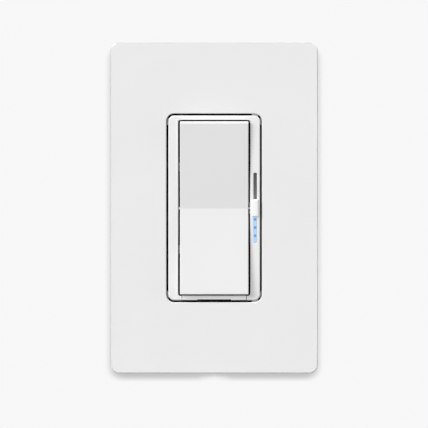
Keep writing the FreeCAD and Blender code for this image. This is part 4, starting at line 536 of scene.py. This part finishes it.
@dataclass(frozen=True)
class FrostedGuide(Finish):
    """Moulded polycarbonate light guide: smoky where it is off, pale blue where its lamps are on.

    A deeper blue spot over each lamp shows where the light enters, and the lit stretch has round
    ends. The colour is painted lighter near the lit stretch and darker towards the far end, as
    painted light from the lamps, which hardly reaches there.
    The frost is drawn coarser than the mould's own grain of 0.05 mm or so, so that it shows.
    """

    name: str = "polycarbonate_moulded_frosted"
    smoke: str = "#8F9194"
    far_smoke_painted_dim: str = "#656769"
    far_end_mm: float = 12.65
    lit_body: str = "#20262E"
    glow: str = "#A8D4F8"
    spot: str = "#5C86D4"
    middle_mm: float = 14.78
    lit_top_mm: float = -2.0
    lit_foot_mm: float = -12.75
    lit_half_mm: float = 0.66
    edge_mm: float = 0.1
    first_lamp_mm: float = -4.1
    lamp_pitch_mm: float = 2.98
    spot_core_mm: float = 0.2
    spot_radius_mm: float = 0.75
    frost_mm: float = 0.3
    frost_depth_mm: float = 0.005
    ior: float = 1.58
    roughness: float = 0.4

    def surface(
        self, tree: bpy.types.NodeTree, place: bpy.types.NodeSocket
    ) -> bpy.types.NodeSocket:
        """Draws the guide, off and lit.

        Args:
            tree: The material's node tree.
            place: The place on the piece.

        Returns:
            The shader's output.
        """
        lit = self.lit_stretch(tree, place)
        height = add_node(tree, "ShaderNodeSeparateXYZ", {"Vector": place}).outputs["Z"]
        # Painted light: the guide's colour is lighter near the lamps and darker towards its far end.
        away = add_node(
            tree,
            "ShaderNodeMapRange",
            {
                "Value": height,
                "From Min": self.lit_top_mm * MM,
                "From Max": self.far_end_mm * MM,
            },
        )
        smoke_with_painted_lamp_light = add_node(
            tree,
            "ShaderNodeMix",
            {0: away.outputs["Result"], 6: linear(self.smoke), 7: linear(self.far_smoke_painted_dim)},
            data_type="RGBA",
        )
        body = add_node(
            tree,
            "ShaderNodeMix",
            {0: lit, 6: smoke_with_painted_lamp_light.outputs[2], 7: linear(self.lit_body)},
            data_type="RGBA",
        )
        light = add_node(
            tree,
            "ShaderNodeMix",
            {0: self.spots(tree, place), 6: linear(self.spot), 7: linear(self.glow)},
            data_type="RGBA",
        )
        frost = add_node(
            tree, "ShaderNodeTexNoise", {"Vector": place, "Scale": per_metre(self.frost_mm)}
        )
        relief = add_node(
            tree,
            "ShaderNodeBump",
            {"Height": frost.outputs["Fac"], "Distance": self.frost_depth_mm * MM},
        )
        shader = add_node(
            tree,
            "ShaderNodeBsdfPrincipled",
            {
                "Base Color": body.outputs[2],
                "Emission Color": light.outputs[2],
                "Emission Strength": lit,
                "Normal": relief.outputs["Normal"],
                "IOR": self.ior,
                "Roughness": self.roughness,
            },
        )
        return shader.outputs["BSDF"]

    def from_line(
        self,
        tree: bpy.types.NodeTree,
        place: bpy.types.NodeSocket,
        up: bpy.types.NodeSocket,
        reach_mm: tuple[float, float],
    ) -> bpy.types.NodeSocket:
        """Maps the distance from the guide's middle line to a share between 0 and 1.

        Args:
            tree: The material's node tree.
            place: The place on the piece.
            up: How far the place is above or below the nearest point that counts.
            reach_mm: The distances at which the share is 0 and 1.

        Returns:
            The share.
        """
        sides = add_node(tree, "ShaderNodeSeparateXYZ", {"Vector": place})
        across = add_node(
            tree,
            "ShaderNodeMath",
            {0: sides.outputs["X"], 1: self.middle_mm * MM},
            operation="SUBTRACT",
        )
        offset = add_node(
            tree, "ShaderNodeCombineXYZ", {"X": across.outputs["Value"], "Z": up}
        )
        length = add_node(
            tree, "ShaderNodeVectorMath", {0: offset.outputs["Vector"]}, operation="LENGTH"
        )
        share = add_node(
            tree,
            "ShaderNodeMapRange",
            {
                "Value": length.outputs["Value"],
                "From Min": reach_mm[0] * MM,
                "From Max": reach_mm[1] * MM,
            },
        )
        return share.outputs["Result"]

    def lit_stretch(
        self, tree: bpy.types.NodeTree, place: bpy.types.NodeSocket
    ) -> bpy.types.NodeSocket:
        """The lit stretch, with its round ends.

        Args:
            tree: The material's node tree.
            place: The place on the piece.

        Returns:
            1 inside it and 0 outside.
        """
        height = add_node(tree, "ShaderNodeSeparateXYZ", {"Vector": place}).outputs["Z"]
        nearest = add_node(
            tree,
            "ShaderNodeClamp",
            {
                "Value": height,
                "Min": (self.lit_foot_mm + self.lit_half_mm) * MM,
                "Max": (self.lit_top_mm - self.lit_half_mm) * MM,
            },
        )
        beyond = add_node(
            tree,
            "ShaderNodeMath",
            {0: height, 1: nearest.outputs["Result"]},
            operation="SUBTRACT",
        )
        reach_mm = (self.lit_half_mm, self.lit_half_mm - self.edge_mm)
        return self.from_line(tree, place, beyond.outputs["Value"], reach_mm)

    def spots(
        self, tree: bpy.types.NodeTree, place: bpy.types.NodeSocket
    ) -> bpy.types.NodeSocket:
        """The spots over the lamps.

        Args:
            tree: The material's node tree.
            place: The place on the piece.

        Returns:
            0 in the middle of each and 1 round them.
        """
        height = add_node(tree, "ShaderNodeSeparateXYZ", {"Vector": place}).outputs["Z"]
        from_first = add_node(
            tree,
            "ShaderNodeMath",
            {0: height, 1: self.first_lamp_mm * MM},
            operation="SUBTRACT",
        )
        from_lamp = add_node(
            tree,
            "ShaderNodeMath",
            {0: from_first.outputs["Value"], 1: self.lamp_pitch_mm / 2 * MM},
            operation="PINGPONG",
        )
        reach_mm = (self.spot_core_mm, self.spot_radius_mm)
        return self.from_line(tree, place, from_lamp.outputs["Value"], reach_mm)


@dataclass(frozen=True)
class MaskedBoard(Finish):
    """Glass-epoxy board under green solder mask, whose tracks show as lighter raised lines."""

    name: str = "glass_epoxy_masked"
    mask: str = "#1F6B3A"
    track: str = "#2C8A4C"
    track_pitch_mm: float = 2.2
    track_width_mm: float = 0.45
    track_height_mm: float = 0.03
    ior: float = 1.5
    roughness: float = 0.28

    def surface(
        self, tree: bpy.types.NodeTree, place: bpy.types.NodeSocket
    ) -> bpy.types.NodeSocket:
        """Draws the board and its tracks.

        Args:
            tree: The material's node tree.
            place: The place on the piece.

        Returns:
            The shader's output.
        """
        faced = add_node(
            tree,
            "ShaderNodeMapping",
            {"Vector": place, "Rotation": (math.radians(90), 0.0, 0.0)},
        )
        tracks = add_node(
            tree,
            "ShaderNodeTexBrick",
            {
                "Vector": faced.outputs["Vector"],
                "Scale": per_metre(self.track_pitch_mm),
                "Mortar Size": self.track_width_mm / self.track_pitch_mm / 2,
                "Color1": linear(self.mask),
                "Color2": linear(self.mask),
                "Mortar": linear(self.track),
            },
        )
        relief = add_node(
            tree,
            "ShaderNodeBump",
            {"Height": tracks.outputs["Fac"], "Distance": self.track_height_mm * MM},
        )
        shader = add_node(
            tree,
            "ShaderNodeBsdfPrincipled",
            {
                "Base Color": tracks.outputs["Color"],
                "Normal": relief.outputs["Normal"],
                "IOR": self.ior,
                "Roughness": self.roughness,
            },
        )
        return shader.outputs["BSDF"]


# Sub-assemblies

@dataclass
class WallPlate:
    """The screwless cover, the adapter that it clips to and the adapter's screws."""

    # Satin ABS: an even cool white with broad, soft highlights and crisp outer edges.
    cover: MouldedPlastic = MouldedPlastic(
        "abs_moulded_satin_white",
        "#E9E9E9",
        "#E7E7E7",
        0.42,
        painted_gap_shade=FACE_GAP_PAINTED_SHADE,
        crisp_mm=(36.9, 59.15),
    )
    # Matt ABS: a duller white with no clear highlight, which recedes behind the cover.
    adapter: MouldedPlastic = MouldedPlastic(
        "abs_moulded_matt_white", "#D8D8D6", "#D2D2D0", 0.6, grain_mm=0.5, painted_gap_shade=FACE_GAP_PAINTED_SHADE
    )
    # Zinc-plated steel: bright bluish grey, mottled by the plating bath.
    screws: WorkedMetal = WorkedMetal("steel_zinc_plated_turned", "#C9CACB", "#AEB0B3", 0.32)

    def build(self) -> None:
        """Dresses the cover, the adapter and the screws."""
        dress("wallplate_cover", self.cover.make())
        dress("wallplate_adapter", self.adapter.make())
        dress("adapter_screws", self.screws.make())


@dataclass
class FacePanel:
    """The bezel, the paddle, the service bar, the slider's knob and its carriage."""

    # Smooth polycarbonate: a clean white, a little glossier than the cover round it.
    surround: MouldedPlastic = MouldedPlastic(
        "polycarbonate_moulded_white", "#EAEAEA", "#E8E8E8", 0.34, painted_gap_shade=FACE_GAP_PAINTED_SHADE
    )
    # The same plastic in the paddle, its colour set a shade darker than the bezel's as painted
    # shade. Its large even faces show the crease by shade alone.
    rocker: MouldedPlastic = MouldedPlastic(
        "polycarbonate_moulded_rocker", "#E5E5E5", "#E3E3E3", 0.36, painted_gap_shade=FACE_GAP_PAINTED_SHADE
    )
    # Acetal: the whitest and smoothest piece, with a waxy gleam from being slid by the finger.
    knob: MouldedPlastic = MouldedPlastic(
        "acetal_moulded_white", "#F6F6F6", "#F3F3F3", 0.3, painted_gap_shade=FACE_GAP_PAINTED_SHADE
    )
    # Undyed acetal: a milky off-white.
    carriage: MouldedPlastic = MouldedPlastic(
        "acetal_moulded_natural", "#D8D8D4", "#CFCFCA", 0.45
    )

    def build(self) -> None:
        """Dresses the four face pieces and the slider's carriage."""
        white = self.surround.make()
        dress("bezel", white)
        dress("service_switch_bar", white)
        dress("paddle", self.rocker.make())
        dress("slider_knob", self.knob.make())
        dress("slider_carriage", self.carriage.make())


@dataclass
class LevelBar:
    """The light guide in the slider's slot and the lamps under it."""

    # Frosted polycarbonate: smoky where it is off, with a pale blue glow over the lamps.
    guide: FrostedGuide = FrostedGuide()
    # Cast epoxy lenses: pale greenish and glossy.
    lens: MouldedPlastic = MouldedPlastic("epoxy_cast_clear", "#E6EAD8", "#D8DEC4", 0.2)

    def build(self) -> None:
        """Dresses the light guide and its lamps."""
        dress("light_bar", self.guide.make())
        dress("indicator_leds", self.lens.make())


@dataclass
class Strap:
    """The aluminium strap with its ground lug and the screws that hold the housing."""

    # Tumbled aluminium: pale grey with a soft sheen that runs along the strap.
    sheet: WorkedMetal = WorkedMetal(
        "aluminium_stamped_tumbled",
        "#D4D5D6",
        "#BDBFC1",
        0.38,
        Run.ALONG_Z,
        scratch_mm=0.4,
        painted_gap_shade=FACE_GAP_PAINTED_SHADE,
    )
    # Tinned copper: warm silver with dull patches.
    tin: WorkedMetal = WorkedMetal("copper_stamped_tinned", "#CFCBC2", "#B5B1A8", 0.3)
    # Headed screws and rivet: cool grey zinc, a little worn by the driver.
    steel: WorkedMetal = WorkedMetal("steel_headed_zinc_plated", "#C4C6C8", "#A6A9AD", 0.34)

    def build(self) -> None:
        """Dresses the strap, the lug, the rivet and the screws."""
        dress("yoke", self.sheet.make())
        dress("ground_lug", self.tin.make())
        steel = self.steel.make()
        dress("ground_rivet", steel)
        dress("housing_screws", steel)


@dataclass
class RearBox:
    """The moulded housing behind the wall."""

    # Matt black phenolic: a coarse grain that scatters the light into a dark grey.
    wall: MouldedPlastic = MouldedPlastic(
        "phenolic_moulded_matt_black",
        "#2B2C2E",
        "#242527",
        0.5,
        grain_mm=0.6,
        grain_depth_mm=0.012,
    )

    def build(self) -> None:
        """Dresses the housing."""
        dress("rear_housing", self.wall.make())


@dataclass
class PushDomes:
    """The two silicone domes under the paddle's posts."""

    foot_radius_mm: float = 3.6
    foot_rim_mm: float = 0.6
    waist_radius_mm: float = 3.0
    top_radius_mm: float = 1.9
    height_mm: float = 3.5
    board_mm: float = 5.0
    offset_mm: float = 20.0
    press_mm: float = 0.35
    sides: int = 48
    # Moulded silicone: a greyish, skin-like matt white.
    silicone: MouldedPlastic = MouldedPlastic("silicone_moulded", "#D6D6D2", "#CBCBC6", 0.55)

    def build(self) -> None:
        """Builds and dresses both domes."""
        material = self.silicone.make()
        for node_name, side in (("upper_dome", 1), ("lower_dome", -1)):
            self.build_dome(node_name, side * self.offset_mm, material)

    def profile(self) -> tuple[tuple[float, float], ...]:
        """The half profile of a dome, from foot to top.

        Returns:
            Each point's radius and height, in millimetres.
        """
        return (
            (self.foot_radius_mm, 0.0),
            (self.foot_radius_mm, self.foot_rim_mm),
            (self.waist_radius_mm, self.foot_rim_mm),
            (self.top_radius_mm, self.height_mm - self.foot_rim_mm),
            (self.top_radius_mm, self.height_mm),
        )

    def turned(self, name: str, up_mm: float) -> bpy.types.Mesh:
        """Turns one dome's mesh about its axis.

        Args:
            name: The mesh's name.
            up_mm: The height of its axis above the middle.

        Returns:
            The mesh.
        """
        shape = bmesh.new()
        rings = []
        for radius, height in self.profile():
            ring = []
            for index in range(self.sides):
                angle = 2 * math.pi * index / self.sides
                across = radius * math.cos(angle)
                up = up_mm + radius * math.sin(angle)
                ring.append(shape.verts.new(Vector((across, self.board_mm - height, up)) * MM))
            rings.append(ring)
        for low, high in zip(rings, rings[1:]):
            for index in range(self.sides):
                after = (index + 1) % self.sides
                shape.faces.new((low[index], low[after], high[after], high[index]))
        shape.faces.new(rings[0])
        shape.faces.new(rings[-1])
        bmesh.ops.recalc_face_normals(shape, faces=shape.faces)
        mesh = bpy.data.meshes.new(name)
        shape.to_mesh(mesh)
        shape.free()
        return mesh

    def build_dome(self, node_name: str, up_mm: float, material: bpy.types.Material) -> None:
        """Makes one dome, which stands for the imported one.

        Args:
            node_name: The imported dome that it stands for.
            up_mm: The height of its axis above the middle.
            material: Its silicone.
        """
        name = node_name + "_rubber"
        mesh = self.turned(name, up_mm)
        mesh.materials.append(material)
        piece = bpy.data.objects.new(name, mesh)
        bpy.context.scene.collection.objects.link(piece)
        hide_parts(node_name)
        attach(piece, "device")
        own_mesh(piece)
        LOG.info("%s: %s", piece.name, material.name)


@dataclass
class Electronics:
    """The boards and all that stands on them."""

    # Moulded epoxy: near-black with a faint satin grain.
    epoxy: MouldedPlastic = MouldedPlastic("epoxy_moulded_black", "#1E1F21", "#17181A", 0.4)
    # Drawn tinplate: the brightest metal on the boards.
    tin: WorkedMetal = WorkedMetal("tinplate_drawn", "#C8CACC", "#B0B3B6", 0.25)
    # Enamelled copper wire: a clear reddish gleam along each turn.
    copper: WorkedMetal = WorkedMetal("copper_drawn_enamelled", "#B8693A", "#A35A30", 0.28)
    # Stamped brass: yellow, with fine lines from the rolling along the strip.
    brass: WorkedMetal = WorkedMetal("brass_stamped", "#C9A75A", "#B08E45", 0.3, Run.ALONG_X)
    # Nickel-plated steel: smooth warm grey.
    steel: WorkedMetal = WorkedMetal("steel_nickel_plated", "#B9BBBD", "#A2A4A7", 0.3)
    # Sintered ferrite: charcoal and gritty, with no gloss.
    ferrite: MouldedPlastic = MouldedPlastic(
        "ferrite_sintered", "#3A3B3D", "#303133", 0.7, grain_mm=0.2, grain_depth_mm=0.02
    )
    # Filled silicone sheet: blue-grey and chalky.
    sheet: MouldedPlastic = MouldedPlastic("silicone_sheet_filled", "#9FA8B0", "#929BA3", 0.6)
    # Dyed nylon: dark blue with a low satin.
    nylon: MouldedPlastic = MouldedPlastic(
        "nylon_moulded_dark_blue", "#26303F", "#1F2834", 0.45, painted_gap_shade=FACE_GAP_PAINTED_SHADE
    )
    # Moulded polyester box: warm opaque yellow with some gloss.
    film: MouldedPlastic = MouldedPlastic(
        "polyester_moulded_yellow", "#D9B23C", "#CFA632", 0.3
    )
    # Shrunk PVC sleeve: dark blue and glossy where it is drawn tight.
    sleeve: MouldedPlastic = MouldedPlastic("pvc_sleeve_shrunk", "#252B3A", "#1E2330", 0.25)
    # Dipped epoxy: a thick clear blue with a wet gloss.
    coating: MouldedPlastic = MouldedPlastic("epoxy_dipped_blue", "#2F5590", "#284B82", 0.3)
    # Fired steatite: creamy white and smooth.
    ceramic: MouldedPlastic = MouldedPlastic("steatite_fired", "#E0DDD2", "#D6D2C6", 0.35)
    # Masked glass epoxy: glossy green, with the tracks raised under the mask.
    board: MaskedBoard = MaskedBoard()

    def build(self) -> None:
        """Dresses every board piece."""
        wearers = (
            (self.board, ("control_board", "power_board")),
            (self.epoxy, ("controller_chip", "board_header", "mosfet_packages")),
            (self.tin, ("radio_module", "antenna", "mosfet_leads")),
            (self.steel, ("mosfet_screws",)),
            (self.sheet, ("thermal_pad",)),
            (self.ferrite, ("choke_core", "supply_transformer")),
            (self.copper, ("choke_winding", "transformer_winding")),
            (self.film, ("film_capacitor",)),
            (self.sleeve, ("electrolytic_capacitor",)),
            (self.coating, ("varistor",)),
            (self.ceramic, ("fuse",)),
            (self.brass, ("air_gap_contact", "air_gap_leaf")),
            (self.nylon, ("slide_pot_body", "slide_pot_wiper")),
        )
        for finish, names in wearers:
            material = finish.make()
            for name in names:
                dress(name, material)


# Studio

@dataclass(frozen=True)
class Lamp:
    """One distant soft lamp.

    Its face_light is what the plate's front gets from it, where 1 shows a colour as written.
    """

    name: str
    left: float
    front: float
    up: float
    face_light: float
    spread_deg: float
    shadow: bool = True

    def build(self) -> None:
        """Makes the lamp."""
        towards = Vector((-self.left, -self.front, self.up)).normalized()
        lamp = bpy.data.lights.new(self.name, "SUN")
        lamp.energy = self.face_light * math.pi / abs(towards.y)
        lamp.angle = math.radians(self.spread_deg)
        lamp.use_shadow = self.shadow
        holder = bpy.data.objects.new(self.name, lamp)
        holder.rotation_mode = "QUATERNION"
        holder.rotation_quaternion = towards.to_track_quat("Z", "Y")
        bpy.context.scene.collection.objects.link(holder)


@dataclass
class Studio:
    """A pale wall and floor, plain soft light and the camera.

    The shade that the plate throws on the wall is painted into the wall's glow, from how much
    of its surroundings a place on the wall sees. It leans up and to the front, so the painted shade
    is widest under the plate.
    """

    view_width_mm: float = 154.3
    view_across_mm: float = -0.07
    view_middle_mm: float = -2.18
    face_level_mm: float = 7.6
    camera_distance: float = 1.6
    nearest_seen: float = 0.05
    farthest_seen: float = 50.0
    wall_half: float = 0.5
    wall_offset_mm: float = 0.05
    box_hole_mm: tuple[float, float] = (51.0, 76.0)
    wall_glow: float = 0.995
    floor_drop: float = 1.2
    floor_half: float = 8.0
    paper: str = "#F8F8F8"
    floor_paper: str = "#CACACA"
    dim_paper: str = "#505050"
    edge_shade: str = "#BEBEBE"
    edge_reach_mm: float = 4.0
    edge_open: tuple[float, float] = (0.41, 0.85)
    edge_lean: tuple[float, float, float] = (0.0, -0.6, 0.8)
    edge_rays: int = 16
    fill_colour: str = "#FFFFFF"
    fill_light: float = 0.26
    lamps: tuple[Lamp, ...] = (
        Lamp("key", 0.95, 1.0, 0.5, 0.46, 32.0),
        Lamp("side", -1.0, 0.15, 0.05, 0.035, 30.0),
        Lamp("sky", 0.5, 1.0, 2.21, 0.31, 10.0, shadow=False),
        Lamp("back", 0.7, -1.0, 0.8, 0.5, 30.0),
    )

    def build(self) -> None:
        """Makes the stage, the light and the camera."""
        self.build_wall()
        self.build_floor()
        self.build_surround()
        for lamp in self.lamps:
            lamp.build()
        self.build_camera()

    def sheet(
        self,
        name: str,
        half: float,
        place: Matrix,
        material: bpy.types.Material,
        hole: tuple[float, float] | None = None,
    ) -> None:
        """Makes one square sheet of the stage.

        Args:
            name: The sheet's name.
            half: Half of its side.
            place: Where it stands.
            material: Its paint.
            hole: Half the sides of the hole in its middle, where it has one.
        """
        shape = bmesh.new()
        rings = []
        for across, up in ((half, half), hole or (half, half)):
            corners = ((-across, -up), (across, -up), (across, up), (-across, up))
            rings.append([place @ Vector((*corner, 0.0)) for corner in corners])
        outer = [shape.verts.new(corner) for corner in rings[0]]
        if hole:
            inner = [shape.verts.new(corner) for corner in rings[1]]
            for index in range(4):
                after = (index + 1) % 4
                shape.faces.new((outer[index], outer[after], inner[after], inner[index]))
        else:
            shape.faces.new(outer)
        mesh = bpy.data.meshes.new(name)
        shape.to_mesh(mesh)
        shape.free()
        mesh.materials.append(material)
        sheet = bpy.data.objects.new(name, mesh)
        bpy.context.scene.collection.objects.link(sheet)

    def looked_at(self, tree: bpy.types.NodeTree) -> bpy.types.NodeSocket:
        """Whether the camera, a gleam or a clear piece looks, and not the light that fills shadows.

        Args:
            tree: The node tree.

        Returns:
            1 or 0.
        """
        rays = add_node(tree, "ShaderNodeLightPath")
        looks = rays.outputs["Is Camera Ray"]
        for kind in ("Is Glossy Ray", "Is Transmission Ray"):
            looks = add_node(
                tree, "ShaderNodeMath", {0: looks, 1: rays.outputs[kind]}, operation="MAXIMUM"
            ).outputs["Value"]
        return looks

    def wall_colour(self, tree: bpy.types.NodeTree) -> bpy.types.NodeSocket:
        """The wall's paint, with the plate's soft shade painted on it.

        Args:
            tree: The wall's node tree.

        Returns:
            The colour's output.
        """
        lean = add_node(tree, "ShaderNodeCombineXYZ", dict(zip("XYZ", self.edge_lean)))
        surroundings = add_node(
            tree,
            "ShaderNodeAmbientOcclusion",
            {"Distance": self.edge_reach_mm * MM, "Normal": lean.outputs["Vector"]},
            samples=self.edge_rays,
        )
        openness = add_node(
            tree,
            "ShaderNodeMapRange",
            {
                "Value": surroundings.outputs["AO"],
                "From Min": self.edge_open[0],
                "From Max": self.edge_open[1],
            },
        )
        mix = add_node(
            tree,
            "ShaderNodeMix",
            {0: openness.outputs["Result"], 6: linear(self.edge_shade), 7: linear(self.paper)},
            data_type="RGBA",
        )
        return mix.outputs[2]

    def build_wall(self) -> None:
        """The wall, with the box's hole: it shows the plate's painted shade, and from behind it is
        clear.

        It neither stops nor throws back light, so the back of the switch is lit as its front is.
        """
        material = bpy.data.materials.new("plaster_painted_matt")
        tree = new_tree(material)
        glow = add_node(
            tree,
            "ShaderNodeEmission",
            {"Color": self.wall_colour(tree), "Strength": self.wall_glow},
        )
        clear = add_node(tree, "ShaderNodeBsdfTransparent")
        behind = add_node(tree, "ShaderNodeNewGeometry").outputs["Backfacing"]
        before = add_node(tree, "ShaderNodeMath", {0: 1.0, 1: behind}, operation="SUBTRACT")
        shown = add_node(
            tree,
            "ShaderNodeMath",
            {0: self.looked_at(tree), 1: before.outputs["Value"]},
            operation="MULTIPLY",
        )
        surface = add_node(
            tree,
            "ShaderNodeMixShader",
            {0: shown.outputs["Value"], 1: clear.outputs["BSDF"], 2: glow.outputs["Emission"]},
        )
        add_node(tree, "ShaderNodeOutputMaterial", {"Surface": surface.outputs["Shader"]})
        upright = Matrix.Rotation(math.radians(90), 4, "X")
        place = Matrix.Translation((0, self.wall_offset_mm * MM, 0)) @ upright
        hole = (self.box_hole_mm[0] / 2 * MM, self.box_hole_mm[1] / 2 * MM)
        self.sheet("wall", self.wall_half, place, material, hole)

    def build_floor(self) -> None:
        """The floor, well below the switch: matt paint that throws little light back on it."""
        material = bpy.data.materials.new("floor_painted_matt")
        tree = new_tree(material)
        colour = add_node(
            tree,
            "ShaderNodeMix",
            {
                0: self.looked_at(tree),
                6: linear(self.dim_paper),
                7: linear(self.floor_paper),
            },
            data_type="RGBA",
        )
        paint = add_node(tree, "ShaderNodeBsdfDiffuse", {"Color": colour.outputs[2]})
        add_node(tree, "ShaderNodeOutputMaterial", {"Surface": paint.outputs["BSDF"]})
        place = Matrix.Translation((0, 0, -self.floor_drop))
        self.sheet("floor", self.floor_half, place, material)

    def build_surround(self) -> None:
        """A pale surround, which fills the shadows softly."""
        world = bpy.data.worlds.new("studio")
        bpy.context.scene.world = world
        tree = new_tree(world)
        shown = add_node(tree, "ShaderNodeBackground", {"Color": linear(self.paper)})
        fill = add_node(
            tree,
            "ShaderNodeBackground",
            {"Color": linear(self.fill_colour), "Strength": self.fill_light},
        )
        both = add_node(
            tree,
            "ShaderNodeMixShader",
            {
                0: self.looked_at(tree),
                1: fill.outputs["Background"],
                2: shown.outputs["Background"],
            },
        )
        add_node(tree, "ShaderNodeOutputWorld", {"Surface": both.outputs["Shader"]})

    def build_camera(self) -> None:
        """The camera in front of the switch, level and square to it."""
        data = bpy.data.cameras.new("camera")
        data.lens = data.sensor_width * self.camera_distance / (self.view_width_mm * MM)
        data.clip_start = self.nearest_seen
        data.clip_end = self.farthest_seen
        camera = bpy.data.objects.new("camera", data)
        distance = self.camera_distance + self.face_level_mm * MM
        camera.location = (self.view_across_mm * MM, -distance, self.view_middle_mm * MM)
        camera.rotation_euler = (math.radians(90), 0.0, 0.0)
        bpy.context.scene.collection.objects.link(camera)
        bpy.context.scene.camera = camera


def main() -> None:
    """Builds the sub-assemblies and the studio in order."""
    logging.basicConfig(level=logging.INFO, format="%(message)s")
    bpy.context.scene.view_settings.view_transform = "Standard"
    parts = (
        WallPlate(),
        FacePanel(),
        LevelBar(),
        Strap(),
        RearBox(),
        PushDomes(),
        Electronics(),
        Studio(),
    )
    for part in parts:
        part.build()
        LOG.info("%s built", type(part).__name__)


if __name__ == "__main__":
    main()
